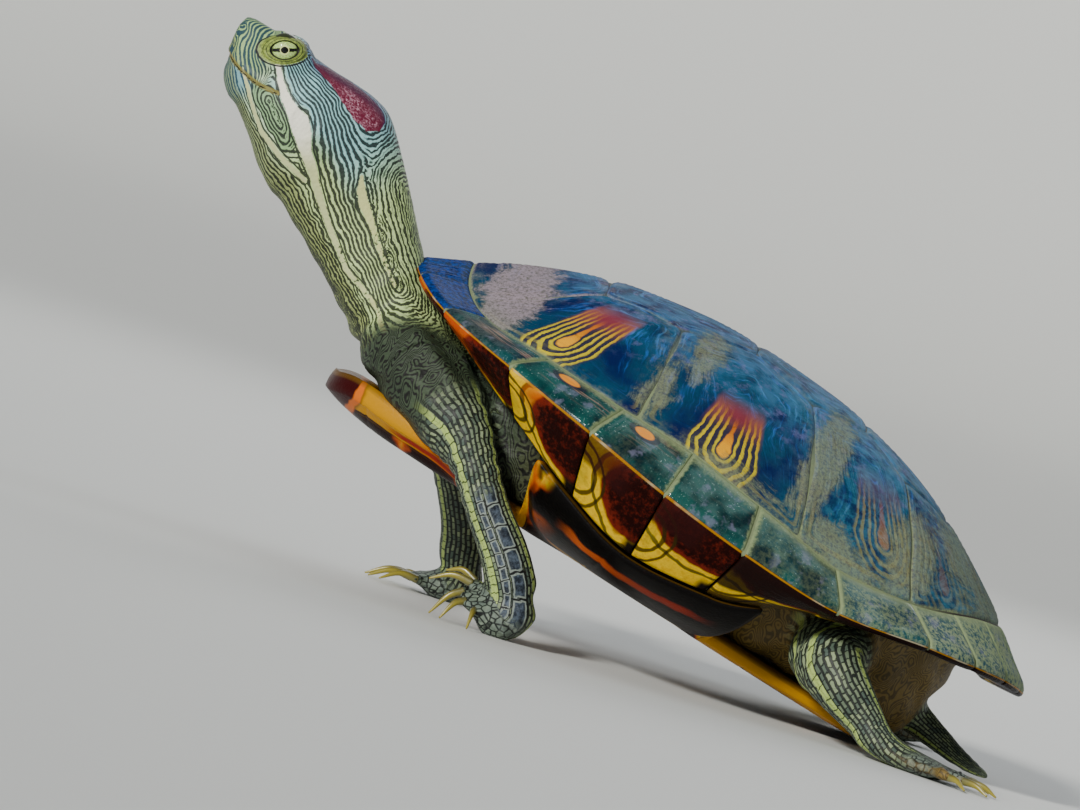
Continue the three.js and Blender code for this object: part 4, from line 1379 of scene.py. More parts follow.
class Finish:
    """A material in the making. Its methods add nodes and hand back their outputs as Values."""

    def __init__(self, name):
        self.material = bpy.data.materials.new(name)
        self.material.use_nodes = True
        self.tree = self.material.node_tree
        self.tree.nodes.clear()
        self.made = {}

    def node(self, kind, settings=None, *inputs, output=0, **named):
        """Adds a node of a kind with settings; inputs go by number, or by name with _ for a
        space, and are Values or constants."""
        made = self.tree.nodes.new(kind)
        for key, value in (settings or {}).items():
            setattr(made, key, value)
        fed = list(enumerate(inputs))
        fed += [(key.replace("_", " "), value) for key, value in named.items()]
        for key, value in fed:
            if isinstance(value, Value):
                self.tree.links.new(value.socket, made.inputs[key])
            elif value is not None:
                made.inputs[key].default_value = value
        return Value(self, made.outputs[output]) if made.outputs else None

    def once(self, key, make):
        """The Value kept under key, made at its first use."""
        if key not in self.made:
            self.made[key] = make()
        return self.made[key]

    def number(self, name):
        """A named number of the mesh's points."""
        return self.once(name, lambda: self.node(
            "ShaderNodeAttribute", {"attribute_name": name}, output=2))

    def numbers(self, names):
        return [self.number(name) for name in names.split()]

    def place(self):
        """Object coordinates in millimetres."""
        def make():
            metres = self.node("ShaderNodeTexCoord", output=3)
            return self.node("ShaderNodeVectorMath", {"operation": "SCALE"}, metres, Scale=1 / MM)
        return self.once("place", make)

    def vector(self, x, y, z):
        return self.node("ShaderNodeCombineXYZ", None, x, y, z)

    def axis(self, index):
        """One of the object coordinates in millimetres."""
        return self.once(("axis", index), lambda: self.node(
            "ShaderNodeSeparateXYZ", None, self.place(), output=index))

    def shifted(self, amount):
        """Object coordinates moved by an amount along every axis."""
        return self.node("ShaderNodeVectorMath", {"operation": "ADD"}, self.place(),
                         self.vector(amount, amount, amount))

    def noise(self, size, detail=2, rough=0.5, at=None):
        """Smooth noise from 0 to 1 with features of about size millimetres."""
        return self.node("ShaderNodeTexNoise", None, at or self.place(), Scale=1 / size,
                         Detail=detail, Roughness=rough)

    def cells(self, size, feature="F1", loose=1):
        """Distances in a scatter of cells of about size millimetres."""
        return self.node("ShaderNodeTexVoronoi", {"feature": feature}, self.place(),
                         Scale=1 / size, Randomness=loose)

    def step(self, low, high, value):
        """0 at low to 1 at high in an S-curve; low may be above high."""
        return self.node("ShaderNodeMapRange", {"interpolation_type": "SMOOTHSTEP"},
                         value, low, high)

    def line(self, value, at, half, blur):
        """1 within half of at, fading over blur."""
        return self.step(half + blur, half, abs(value - at))

    def both(self, first, *others):
        """The largest of several shares."""
        for other in others:
            first = first.math("MAXIMUM", other)
        return first

    def mix(self, share, a, b):
        """Colour a to colour b; each is a Value, a screen colour's code, or linear numbers."""
        def tone(v):
            if isinstance(v, Value):
                return v
            return (*(colour(v) if isinstance(v, str) else v), 1.0)
        return self.node("ShaderNodeMix", {"data_type": "RGBA"}, share, *[None] * 5, tone(a),
                         tone(b), output=2)

    def layered(self, base, *layers):
        """A colour under layers laid over it in turn, each a share and a colour."""
        for share, tone in layers:
            base = self.mix(share, base, tone)
        return base

    def off_whole(self, value):
        """Distance to the nearest whole number."""
        return abs(value - value.math("ROUND"))

    def far(self, dx, dy):
        """Distance made up of two numbers at right angles."""
        return (dx * dx + dy * dy).math("SQRT")

    def bump(self, height, depth):
        """A normal raised by height, 0 to 1, times depth in millimetres."""
        return self.node("ShaderNodeBump", None, Strength=1, Distance=depth * MM, Height=height)

    def done(self, base, roughness, normal=None, **constants):
        """Feeds the surface and hands back the material."""
        shader = self.node("ShaderNodeBsdfPrincipled", None, Base_Color=base,
                           Roughness=roughness, Normal=normal, **constants)
        self.node("ShaderNodeOutputMaterial", None, shader)
        return self.material


def scute_finish(look):
    """Scutes of the dome: dark blue to teal, with a painted sky reflection along the wrinkles and a
    painted lighter blue sheen towards the top, yellow and orange loops on the side scutes, pale
    seams, and dried mud in patches."""
    f = Finish("dome scutes")
    edge, crest, loop, rise, vivid, seed = f.numbers("edge crest loop rise vivid seed")
    spot = f.shifted(seed * 7)
    cloud = f.noise(14, 3, at=spot)
    wide = f.noise(7, 4, 0.62, at=spot)
    streak = f.node("ShaderNodeTexNoise", None, f.vector(
        edge * 0.7 + f.noise(6, at=spot) * 2.2, f.axis(0) * 0.1, f.axis(1) * 0.1 + seed),
        Scale=1, Detail=5, Roughness=0.65)
    # sky: where a painted sky reflection lies along the wrinkles towards the top; the wrinkles' own
    # relief is in the bump
    sky = f.step(0.5, 0.72, streak) * f.step(0.05, 0.9, crest + (wide - 0.5) * 0.8)
    # paler: lighter towards the crest, where it brightens the painted sky reflection, and towards
    # the rear, the shell's own paler tone
    rear = f.step(20, 75, f.axis(0))
    paler = f.both(f.step(0.55, 1, crest), rear)
    paler = paler * f.step(0.35, 0.65, f.noise(3, 5, 0.7, at=spot))
    lilac = f.step(0.52, 0.7, f.noise(4.2, 4, 0.7, at=spot)) * f.step(0.35, 0.9, crest)
    ground = f.layered(
        look.ground,
        (f.step(0.36, 0.62, cloud), look.teal),
        (f.step(0.46, 0.66, wide) * 0.5, "06203f"),
        # painted sky reflection, lighter where paler is high
        (sky * 0.75, f.mix(paler, look.sky, "4f98c0")),
        (paler * rear * 0.5, "46849c"),
        # painted sheen: lighter blue on the crest, where the top faces the sky
        (f.step(0.55, 1, crest) * f.step(0.35, 0.65, wide) * 0.4, "4c8cbc"),
        (lilac * 0.5, "6f6fa3"))
    # The loops: a core, and lines at even distances from it that close in towards their top.
    wobble = loop + (f.noise(3.4, 2) - 0.5) * 1.6
    reach = f.step(18, 9, rise) * f.step(-11.5, -9.5, rise)
    lines = f.step(0.12, -0.12, (wobble / 2.35).math("FRACT") - 0.42 - 0.1 * (cloud - 0.5))
    lines = lines * f.step(2.3, 2.7, wobble) * f.step(11.6, 9.6, wobble)
    core = f.step(0.3, -0.3, wobble - 1.9 + f.step(0, 8, rise) * 1.1)
    fan = f.step(12, 9.5, wobble) * f.step(23, 14, rise) * f.step(-11, -9, rise) * vivid
    warm = f.mix(f.step(3, 13, rise), look.yellow, "c88a10")
    glow = f.mix(f.step(0, 9, rise), look.orange, "c46a08")
    dark = f.mix(f.step(6, 17, rise), "2c2a3c", "8d4a40")
    apex = f.step(9, 14, rise) * f.step(22, 15, rise) * f.step(7, 2, wobble)
    pattern = f.layered(
        dark,
        (lines * reach, warm),
        (core * f.step(15, 9, rise), glow),
        (apex * 0.7, "7c1f38"))
    stripe = f.line(edge, 2.7 + 0.8 * (wide - 0.5), 0.45, 0.3) * f.step(0.5, 0.62, f.noise(22))
    base = f.layered(
        ground,
        (fan * 0.95, pattern),
        (stripe * f.step(0.6, 0.2, crest) * 0.28, "a89a3c"))
    # Dried mud: patches with ragged borders, thickest along the seams.
    grain = f.noise(0.8, 3, 0.7)
    ragged = f.noise(5, 8, 0.74)
    mud = f.number("dust") * 1.4 + (ragged - 0.5) * 1.7 + (streak - 0.5) * 1.3 - 0.36
    mud = f.step(0, 0.45, mud) * f.step(0.2, 0.5, grain + 0.12)
    film = f.step(0.42, 0.75, ragged) * f.step(7, 0.5, edge) * 0.55 * look.mud
    seam = f.step(1, 0.2, edge + (ragged - 0.5) * 1.5)
    seam = seam * (0.45 + 0.55 * f.step(0.4, 0.58, f.noise(13)))
    seam = seam * (1 - 0.6 * f.step(0.75, 0.97, crest))
    front = f.step(5, -20, f.axis(0))
    dry = f.mix(front, "868c66", look.dust)
    tint = f.layered(
        look.seam,
        (f.step(0.1, 0.6, crest + mud * 0.3), dry),
        (f.step(0.4, 0.7, grain), "625f55"))
    base = f.mix(f.both(mud * (0.62 + 0.25 * front) * look.mud, film, seam * 0.9), base, tint)
    rings = f.noise(1, 3, 0.6, at=f.vector(edge * 1.6 + wide * 1.4, seed, f.axis(0) * 0.06))
    raised = rings * 0.6 + streak * 0.5 + f.noise(0.5, 2) * 0.18 + mud * 0.5
    normal = f.bump(raised, 0.34)
    rough = 0.3 + 0.12 * wide + 0.42 * f.both(mud, seam)
    return f.done(base, rough + 0.18 + crest * 0.1, normal, Coat_Weight=0.03,
                  Coat_Roughness=0.25, Specular_IOR_Level=0.06)


def marginal_finish(look):
    """Marginal scutes: teal above, deep blue at the front, with pale speckles that are partly their
    own and partly painted wet glints, a painted lilac sheen and a small ringed spot, and below
    yellow with a dark round blotch against each rear seam."""
    f = Finish("marginal scutes")
    along, girth, edge, seed, number, dust = f.numbers("along girth edge seed number dust")
    spot = f.shifted(seed * 5)
    cloud = f.noise(9, 3, at=spot)
    grain = f.noise(1.2, 4, 0.7, at=spot)
    # pale speckles: partly the scutes' own speckles, partly painted wet glints
    specks_and_glints = f.step(0.6, 0.72, f.noise(0.7, 3, 0.78)) * f.step(0.36, 0.6, cloud)
    rear = f.step(6.5, 9.5, number)
    fore = f.step(3.2, 2.2, number)
    sheen = f.noise(5, 3, 0.6, at=spot)
    # lilac: a painted lilac sheen on the upper side
    lilac = f.step(0.53, 0.66, sheen) * f.line(along, 0.55, 0.28, 0.15) * f.step(0.1, 0.35, girth)
    away = f.far((along - 0.42) / 0.13, (girth - 0.3) / 0.11)
    middle = f.step(3.2, 3.8, number) * f.step(5.8, 5.3, number)
    streaks = f.step(0.5, 0.66, f.noise(1.3, 2, at=f.vector(
        along * 3, girth * 26, seed))) * f.line(along, 0.6, 0.3, 0.15)
    streaks = streaks * f.step(0.8, 0.5, girth) * f.step(6.5, 2, number) * (1 - fore)
    crust = f.both(f.step(1.5, 0.3, edge + (grain - 0.5) * 2.4), dust * f.step(0.3, 0.7, grain))
    upper_edge = f.step(0.3, 0.02, girth + (grain - 0.5) * 0.3) * 0.8
    top = f.layered(
        look.teal_dark,
        (f.step(0.35, 0.65, cloud), look.teal_green),
        (fore * 0.9, f.mix(f.step(0.4, 0.62, grain), "021848", "063a8e")),
        (rear * 0.85, f.mix(f.step(0.4, 0.6, grain), "1c4658", "8c9a78")),
        # pale speckles, partly the scutes' own and partly painted wet glints; then a painted lilac
        # sheen
        (specks_and_glints * 0.75 * (1 - fore), "a4c4bc"),
        (lilac * f.step(2, 3.5, number) * 0.3, "8f8bae"),
        (streaks * 0.6, "b98f7c"),
        (f.step(1.75, 1.5, away) * middle * 0.8, "1a2030"),
        (f.step(1.1, 0.85, away) * middle, "e08a20"),
        (f.both(crust * 0.85, upper_edge) * (1 - 0.88 * fore), look.seam))
    # Underside: depth runs from the rim to the inner lower edge.
    depth = girth - 1
    wob = f.noise(6, 2, at=spot) - 0.5
    fine = f.noise(1.5, 4, 0.65, at=spot)
    late = f.step(5.4, 5.8, number)
    blot_along = (along - 0.84 + 0.16 * late) / (0.5 + 0.2 * late)
    blot_deep = (depth - 0.34 + 0.16 * late) / (0.5 - 0.08 * late)
    blot = f.far(blot_along, blot_deep) + wob * 0.35
    yellow = f.mix(f.step(0.4, 0.8, fine), look.under_yellow, "b88a00")
    ring = f.line(blot, 1.24, 0.04, 0.04)
    ember = f.step(0.5, 0.08, depth + (fine - 0.5) * 0.4) * f.step(1.45, 1, blot)
    early = f.step(3.6, 3.4, number)
    blotch = f.mix(f.step(0.45, 0.85, fine + 0.35 * f.step(0.6, 1, blot)), look.blotch, "641c0e")
    # The blotch's far side runs on across the seam as a dark loop in the next scute's corner.
    loop = f.far(along / 0.26, (depth - 0.55) / 0.3) + wob * 0.3
    nested = f.both(f.line(loop, 1, 0.06, 0.06), f.line(loop, 1.5, 0.04, 0.06))
    front = f.step(0.75, 0.5, along) * f.step(0.42, 0.3, depth + wob * 0.3)
    wedge = f.step(0.82, 0.92, along) * f.step(0.7, 0.86, depth)
    seamline = f.step(0.42, 0.2, edge)
    last = f.step(6.5, 7, number) * (1 - f.line(depth, 0.8 - 0.35 * along, 0.05, 0.06))
    under = f.layered(
        yellow,
        (f.step(0.58, 0.72, f.noise(3, 3)) * 0.3, "8f7a1c"),
        (ring * 0.9, "3f3a12"),
        (ember * 0.9, "a83c08"),
        (early * f.step(0.75, 0.25, along + (fine - 0.5) * 0.5), "a84008"),
        (f.step(1.04, 0.94, blot), blotch),
        (nested * 0.9, "2c2408"),
        (f.step(0.8, 0.5, loop) * 0.3, "77701f"),
        (front * f.step(4.4, 4.6, number) * 0.85, "2a0d0c"),
        (wedge, "120c08"),
        (seamline * f.step(0.15, 0.4, depth), "160f0a"),
        (last * 0.93, "180b09"))
    rim = f.line(girth, 1.012, 0.008, 0.012)
    lip = f.mix(f.step(0.5, 0.66, f.noise(9)), "b07a08", "b9b090")
    base = f.layered(
        top,
        (f.step(0.985, 1, girth), under),
        (rim * 0.75, lip))
    raised = f.noise(0.7, 3, 0.6) * 0.5 + f.noise(1, 3, 0.6, at=f.vector(
        edge * 1.4 + grain, seed, along)) * 0.6 + crust * 0.5
    rough = f.step(1, 0.98, girth) * (0.16 + 0.4 * crust) + 0.26 + 0.1 * fine
    wet = f.line(number, 6.5, 1.5, 1.5) * f.step(0.4, 0.6, cloud) * f.step(1, 0.95, girth)
    return f.done(base, rough, f.bump(raised, 0.22), Coat_Weight=0.01 + 0.7 * wet * (1 - crust),
                  Coat_Roughness=0.12, Specular_IOR_Level=0.05)


def base_finish(look):
    """The shell between and inside the scutes: pale olive seams that turn dark blue at the
    crest, and painted shade low down and inside the shell, as near-black brown."""
    f = Finish("shell base")
    inside = f.noise(6, 3)
    height = f.axis(2) * math.cos(TILT) + f.axis(0) * math.sin(TILT)
    # low: the lower part and the inside of the shell, painted near-black brown as shade
    low = f.step(52, 44, f.axis(2)) * f.step(60, 40, abs(f.axis(1)))
    base = f.layered(
        look.seam,
        (f.noise(2, 4, 0.7), "5f6a4c"),
        (f.step(76, 90, height) * 0.8, "1c3446"),
        # painted shade low down and inside the shell
        (low, f.mix(inside, "2a1c10", "120c08")))
    return f.done(base, 0.7, f.bump(f.noise(0.6, 3, 0.7), 0.2))


def plastron_finish(look):
    """Plastron and bridges: yellow with large dark blotches rimmed with orange and red, and
    dark seams."""
    f = Finish("plastron")
    back, aside, margin, wing, inner = f.numbers("back aside margin wing inner")
    wob = f.noise(9, 2)
    fine = f.noise(1.6, 4, 0.65)
    yellow = f.mix(f.step(0.35, 0.7, fine), look.under_yellow, "d58a12")
    field = None
    for cx, cy, rx, ry in ((13, 13, 12, 13), (33, 17, 9, 19), (58, 19, 15, 17),
                           (100, 19, 21, 16), (137, 19, 11, 19), (164, 15, 12, 12)):
        far = f.far((back - cx) / rx, (aside - cy) / ry)
        field = far if field is None else field.math("MINIMUM", far)
    lobe = (field + (wob - 0.5) * 0.8) * 0.85
    wx = ((back - 58) / 23).math("FRACT") - 0.5
    arch = (f.far(wx * 2.1, (margin - 11) / 9) + (wob - 0.5) * 0.7) * 0.78
    far = lobe + (arch - lobe) * f.step(0.3, 0.7, wing) * f.step(30, 36, aside)
    ring = f.line(far, 1.3, 0.045, 0.03)
    side = f.step(0.6, 0.9, wing) * f.step(34, 38, aside)
    sooty = f.mix(f.step(0.6, 0.9, fine), "060404", "260a06")
    away = margin + (wob - 0.5) * 5
    streak = f.line(away, 7, 1, 1.2) * f.step(66, 76, back) * f.step(118, 104, back)
    low = f.step(9, 12, away) * f.step(70, 60, back) * f.step(0.3, 0.6, fine + 0.1)
    ridge = f.step(5.5, 3.5, margin) * f.step(0.5, 0.1, wing)
    shift = (wob - 0.5) * 2
    ember = f.line(margin + shift, 2.4, 0.8, 0.6) * f.step(14, 22, back)
    ridge_tone = f.layered(
        "b88200",
        (f.step(20, 36, back) * f.step(60, 50, back), "b65002"),
        (ember * f.step(50, 40, back), "8c220c"),
        (f.line(margin + shift, 4.6, 0.25, 0.25), "2a1208"))
    nose = back + (wob - 0.5) * 5
    base = f.layered(
        yellow,
        (f.step(1.2, 1, far), "b04408"),
        (f.step(1.06, 0.94, far), f.mix(f.step(0.55, 0.85, fine), look.blotch, "3a0d0a")),
        (ring * 0.5, "5a4310"),
        (side * f.both(f.step(0.5, 0.4, f.noise(9, 2)), f.step(57, 62, back)), sooty),
        (side * f.both(streak, low * 0.8), f.mix(f.step(74, 100, back), "c4560a", "8c2408")),
        (ridge, ridge_tone),
        (f.step(8, 6, nose), f.mix(f.line(nose, 5.6, 0.7, 0.7), "34090a", "c8641a")),
        (f.step(0.8, 1, inner) * 0.7, "6b4d16"))
    return f.done(base, 0.3 + 0.15 * fine, f.bump(f.noise(0.8, 3, 0.6), 0.12),
                  Coat_Weight=0.03, Coat_Roughness=0.15, Specular_IOR_Level=0.08)


def skin_finish(look):
    """Skin: dark lines between pale stripes on head and neck, a red patch behind each eye,
    a dark maze on the shoulders, scaly stripes on the limbs."""
    f = Finish("skin")
    line, pitch, patch, lid, over, mouth = f.numbers("line pitch patch lid over mouth")
    neck, band, along, around, fold = f.numbers("neck band along round fold")
    fore, hind, tail, down, turn, toe = f.numbers("fore hind tail down turn toe")
    grain = f.noise(0.45, 2, 0.6)
    mottled = f.noise(2.4, 3, 0.6)
    broad = f.noise(12, 2)
    pebble = f.cells(1)
    # Head and neck: dark lines at whole numbers, and finer ones between where there is room.
    ragged = f.step(28, 70, along)
    sway = (f.noise(4.5, 2) - 0.5) * 1.1 * f.step(10, 20, along)
    level = line + sway + (f.noise(1.5, 2) - 0.5) * (0.3 + 0.25 * ragged)
    level = level + (pebble - 0.4) * 0.1 / pitch
    broken = f.noise(1.1, 3, 0.65)
    half = 0.27 + 0.2 * (mottled - 0.5) + 0.07 * f.step(4.2, 3, line) + 0.08 * ragged
    muzzle = f.step(15, 9, along)
    half = half + (broken - 0.5) * (0.25 + 0.45 * ragged) + 0.1 * muzzle
    close = half.math("MINIMUM", pitch * 0.3)
    dark = f.step(close + 0.13, close - 0.08, f.off_whole(level) * pitch)
    dark = dark * f.step(0.3, 0.5, pitch)
    for times, room, full in ((2, 1.35, 2), (4, 2.6, 3.6)):
        room, full = room + muzzle, full + muzzle
        thin = half * f.step(room, full, pitch) * 0.9
        gap = f.off_whole(level * times) * pitch / times
        dark = f.both(dark, f.step(thin + 0.1, thin - 0.08, gap) * f.step(room, full, pitch))
    banded = f.step(0.14, -0.14, band + (grain - 0.5) * 0.5 + (mottled - 0.5) * 0.5)
    dark = f.both(dark, f.line(band, 0.42, 0.14, 0.12)) * (1 - banded)
    above = f.step(1.75, 1.45, around)
    blue = f.step(5.6, 6.6, level) * f.step(62, 42, along) * f.step(10, 16, along) * above
    crown = f.step(0.95, 0.5, around) * f.step(12, 18, along) * f.step(50, 38, along)
    ink = f.mix(muzzle * 0.8, look.ink, "063a54")
    finger = f.step(5.7, 6.3, level) * f.step(46, 36, along) * f.step(1.5, 1.75, around)
    throat = f.step(4.6, 3.2, line) * f.step(1.5, 2.1, around)
    bright = f.layered(
        look.cream,
        (f.step(28, 46, along), "ccd08a"),
        (f.step(1.75, 2, around), "c3ca90"))
    pale = f.layered(
        look.pale_head,
        (f.step(18, 45, along), look.pale_neck),
        (blue * 0.9, "94d2da"),
        (crown * 0.75, "3f4f86"),
        (muzzle * 0.7, f.mix(f.step(0.5, -0.5, over), "93b45c", "3f8fb4")),
        (finger * 0.7, "6f9a62"),
        (throat * 0.75, "828a4c"),
        (f.step(0.5, 0.72, mottled) * 0.2, "68866a"),
        (banded, bright))
    fleck = f.step(0.45, 0.68, f.noise(0.6, 4, 0.7)) * f.step(0.34, 0.6, f.noise(5, 2))
    fleck = fleck * f.step(22, 34, along)
    flesh = f.layered(
        look.patch,
        (fleck * f.step(0.4, 0.65, around), "cc98aa"),
        (f.step(0.7, 0.4, around) * 0.75, "3c0c36"),
        (f.step(-1.3, -0.3, patch) * f.step(0.75, 0.5, around) * 0.85, "1c1750"))
    lipband = f.step(1.05, 0.75, mouth + (mottled - 0.5) * 0.4) * f.step(-0.6, -0.1, over)
    # folds: dark lines along the lid's two creases, painted shade
    folds = f.both(f.line(fold, 0.34, 0.02, 0.04), f.line(fold, 0.66, 0.02, 0.05))
    lidtone = f.layered(
        "93a548",
        (f.step(0.42, 0.6, f.noise(0.7, 3, 0.6)), "687838"),
        # painted shade in the lid's creases
        (folds * 0.8, "2c331c"),
        (f.step(0.09, 0.05, fold), "060704"))
    head = f.layered(
        pale,
        (dark * (1 - 0.12 * grain), ink),
        (f.step(0.12, -0.12, patch + 0.45 + (mottled - 0.5) * 0.7), flesh),
        (lipband * 0.85, "8a7f3c"),
        (f.step(0.28, 0.14, mouth), "060604"),
        (f.step(1.04, 0.98, lid), lidtone),
        (f.line(lid, 1.07, 0.03, 0.03) * f.step(0.5, 0.85, around), "080c0e"))
    # Shoulders and pockets: contour lines of a noise make a maze. The shoulders' dark olive is
    # partly the skin's own colour and partly painted shade under the shell.
    upright = f.vector(f.axis(0), f.axis(1), f.axis(2) * 0.5)
    field = f.noise(5.5, 1.5, 0.5, at=upright) * 17 + f.axis(0) * 0.35
    maze = f.step(0.31, 0.15, f.off_whole(field) + (grain - 0.5) * 0.2)
    behind = f.step(-30, 20, f.axis(0))
    body = f.layered(
        # dark olive, partly the skin's own colour, darkened further as painted shade under the
        # shell
        f.mix(broad, "43513a", "283426"),
        (behind, f.mix(broad, "8a7238", "5a4a22")),
        (maze * (1 - 0.4 * behind), "0d0d0a"))
    # Limbs: rows of small scales run down them, with plates on the forearm and broad stripes.
    lanes = turn * 4.6 + (f.noise(6, 2) - 0.5) * 0.9
    lane = lanes.math("FLOOR")
    step_down = down / 1.9 + lane * 0.37 + (mottled - 0.5) * 0.6
    beside = 0.5 - f.off_whole(lanes)
    across = f.off_whole(step_down)
    tone = f.node("ShaderNodeTexWhiteNoise", {"noise_dimensions": "2D"},
                  f.vector(lane, step_down.math("ROUND"), 0))
    gaps = f.both(f.step(0.2, 0.33, beside + (grain - 0.5) * 0.15), f.step(0.38, 0.46, across))
    limb = f.layered(
        "43534a",
        (tone, "8b9a74"),
        (gaps * 0.95, "0b100f"))
    plates = None
    for at, half_wide, long in ((1.58, 0.3, 6.2), (1.02, 0.17, 3.6)):
        end = f.off_whole(down / long + at)
        side = abs(turn - at + (mottled - 0.5) * 0.12)
        pale_edge = f.both(f.step(0.36, 0.4, end), f.step(half_wide - 0.1, half_wide - 0.05, side))
        slate = f.layered(
            "141c26",
            (f.step(0.35, 0.7, f.noise(1.6, 4, 0.7)), "4d5a68"),
            (pale_edge * 0.75, "8f9a90"),
            (f.both(f.step(0.44, 0.47, end), f.step(half_wide - 0.02, half_wide, side)), "07090b"))
        here = f.step(half_wide + 0.05, half_wide + 0.02, side) * f.step(36, 42, down) * fore
        limb = f.mix(here, limb, slate)
        plates = here if plates is None else f.both(plates, here)
    slim = f.step(12, 34, down)
    lime = f.both(f.line(turn, 0.5, 0.07 + 0.06 * slim, 0.04), f.line(turn, 2.35, 0.07, 0.04),
                  f.line(turn, -0.9, 0.08, 0.04))
    bead = f.off_whole(down / 2.6)
    rows = f.cells(1.9, "DISTANCE_TO_EDGE", loose=0.8)
    foot = f.mix(f.step(0.03, 0.16, rows), "0f1413", f.mix(mottled, "34434a", "8c9a84"))
    limb = f.layered(
        limb,
        (lime * 0.92, f.mix(f.step(0.4, 0.47, bead), "a9bf68", "36421c")),
        (toe, foot))
    base = f.layered(
        body,
        (neck, head),
        (f.both(fore, hind, tail), limb))
    raised = (pebble * 0.5 + grain * 0.25) * (1 - 0.5 * f.step(30, 10, along))
    raised = raised - gaps * 0.5 * f.both(fore, hind) * (1 - plates)
    normal = f.bump(raised - dark * 0.2, 0.26)
    return f.done(base, 0.5 + 0.14 * mottled, normal, Coat_Weight=0.06, Coat_Roughness=0.35,
                  Specular_IOR_Level=0.3)


def eye_finish(look):
    """Eye: yellow-green iris, round pupil and a dark bar through it, under a wet surface."""
    f = Finish("eye")
    long, tall = f.numbers("long tall")
    far = f.far(long, tall)
    iris = f.layered(
        look.iris,
        (f.step(0.4, 0.65, f.noise(0.35, 3, 0.7)), "9cac58"),
        (f.step(1.4, 1.15, far) * 0.5, "e6e9a8"))
    bar = abs(tall) + (f.noise(0.8) - 0.5) * 0.35 + abs(long) * 0.05
    bar = f.step(0.66, 0.52, bar) * f.step(3.6, 3.2, abs(long))
    base = f.layered(
        iris,
        (bar, "0a0d0c"),
        (f.line(far, 1.14, 0.08, 0.07), "dfe39a"),
        (f.step(1, 0.88, far), "020303"),
        (f.step(2.9, 3.5, far), "2a3018"))
    return f.done(base, 0.4, None, Coat_Weight=0.6, Coat_Roughness=0.04, Coat_IOR=1.36,
                  Specular_IOR_Level=0.2)


def claw_finish(look):
    """Claws: dark at the root and along the top, honey yellow to the tip."""
    f = Finish("claws")
    reach, top = f.numbers("reach top")
    streak = f.noise(0.6, 3)
    base = f.layered(
        "6d6a3c",
        (f.step(0, 0.6, reach + (streak - 0.5) * 0.3), look.claw),
        (f.step(0.2, 0.9, top) * f.step(1, 0.4, reach) * 0.55, "2c2a1c"))
    return f.done(base, 0.32, f.bump(streak, 0.05), Coat_Weight=0.3, Coat_Roughness=0.2)


# ---- settings, operators, panel

def tint(name, description, code):
    return FloatVectorProperty(name=name, description=description, subtype="COLOR", size=3,
                               min=0.0, max=1.0, default=colour(code))


class SliderLook(bpy.types.PropertyGroup):
    """Colours and amounts of the finishes."""
    ground: tint("Shell ground", "Darkest colour of the dome's scutes", "031646")
    teal: tint("Shell teal", "Second colour of the dome's scutes", "063c56")
    # colour of the painted sky reflection on the dome's wrinkles
    sky: tint("Shell sky sheen", "Painted sky reflection on the wrinkles towards the top of the dome", "2468c8")
    teal_dark: tint("Rim dark", "Darker colour of the marginals' upper side", "021c24")
    teal_green: tint("Rim light", "Lighter colour of the marginals' upper side", "064a46")
    seam: tint("Seams", "Dried mud in the seams", "87946a")
    dust: tint("Dried mud", "Dried mud on top of the shell", "988a92")
    mud: FloatProperty(name="Mud", description="How much dried mud the shell carries",
                       default=1.0, min=0.0, max=1.0, subtype="FACTOR")
    yellow: tint("Loops", "Yellow of the loops on the side scutes", "c8b408")
    orange: tint("Loop cores", "Orange of the loops' middles", "eca400")
    under_yellow: tint("Underside", "Yellow of the underside", "d6b000")
    blotch: tint("Blotches", "Dark blotches of the underside", "1c0402")
    ink: tint("Skin lines", "Dark lines of the skin", "04080a")
    pale_head: tint("Head stripes", "Pale stripes of the head", "bedcb4")
    pale_neck: tint("Neck stripes", "Pale stripes of the neck", "c2da92")
    cream: tint("Broad stripes", "Broad stripe behind the eye and under the chin", "f6f4e2")
    patch: tint("Red patch", "Patch behind the eye", "64062a")
    iris: tint("Iris", "Iris of the eye", "c4e88a")
    claw: tint("Claws", "Claws towards their tips", "94882a")


def length(name, description, millimetres):
    return FloatProperty(name=name, description=description, default=millimetres * MM, min=0.0,
                         precision=5, unit="LENGTH", subtype="DISTANCE")


class SliderSizes(bpy.types.PropertyGroup):
    """Sizes of the relief on the shell, the skin and the small pieces."""
    scute: length("Scute height", "How far the dome's scutes stand up from the shell", 0.3)
    rings: length("Growth rings", "Half the height of the scutes' growth rings", 0.07)
    keel: length("Keel", "Height of the ridge down the back", 0.25)
    rim_scute: length("Rim scute height", "How far the marginals stand up", 0.42)
    scallop: length("Scallops", "How far each rear marginal bulges out", 0.9)
    groove: length("Plastron seams", "Depth of the seams between the plastron's scutes", 0.28)
    fold: length("Neck folds", "Height of the folds round the neck", 0.42)
    crumple: length("Skin crumples", "Height of the loose skin's crumples", 0.4)
    cube: length("Skin detail", "Size of the cubes that merge the skin's parts", 1.2)
    eye: length("Eye radius", "Radius of the eyeballs", 4.6)
    claw: FloatProperty(name="Claw thickness", description="Share of the toe's radius",
                        default=0.66, min=0.2, max=1.0, subtype="FACTOR")


def size(name):
    """One of the panel's sizes, lengths in millimetres."""
    value = getattr(bpy.context.scene.slider_sizes, name)
    return value if name == "claw" else value / MM


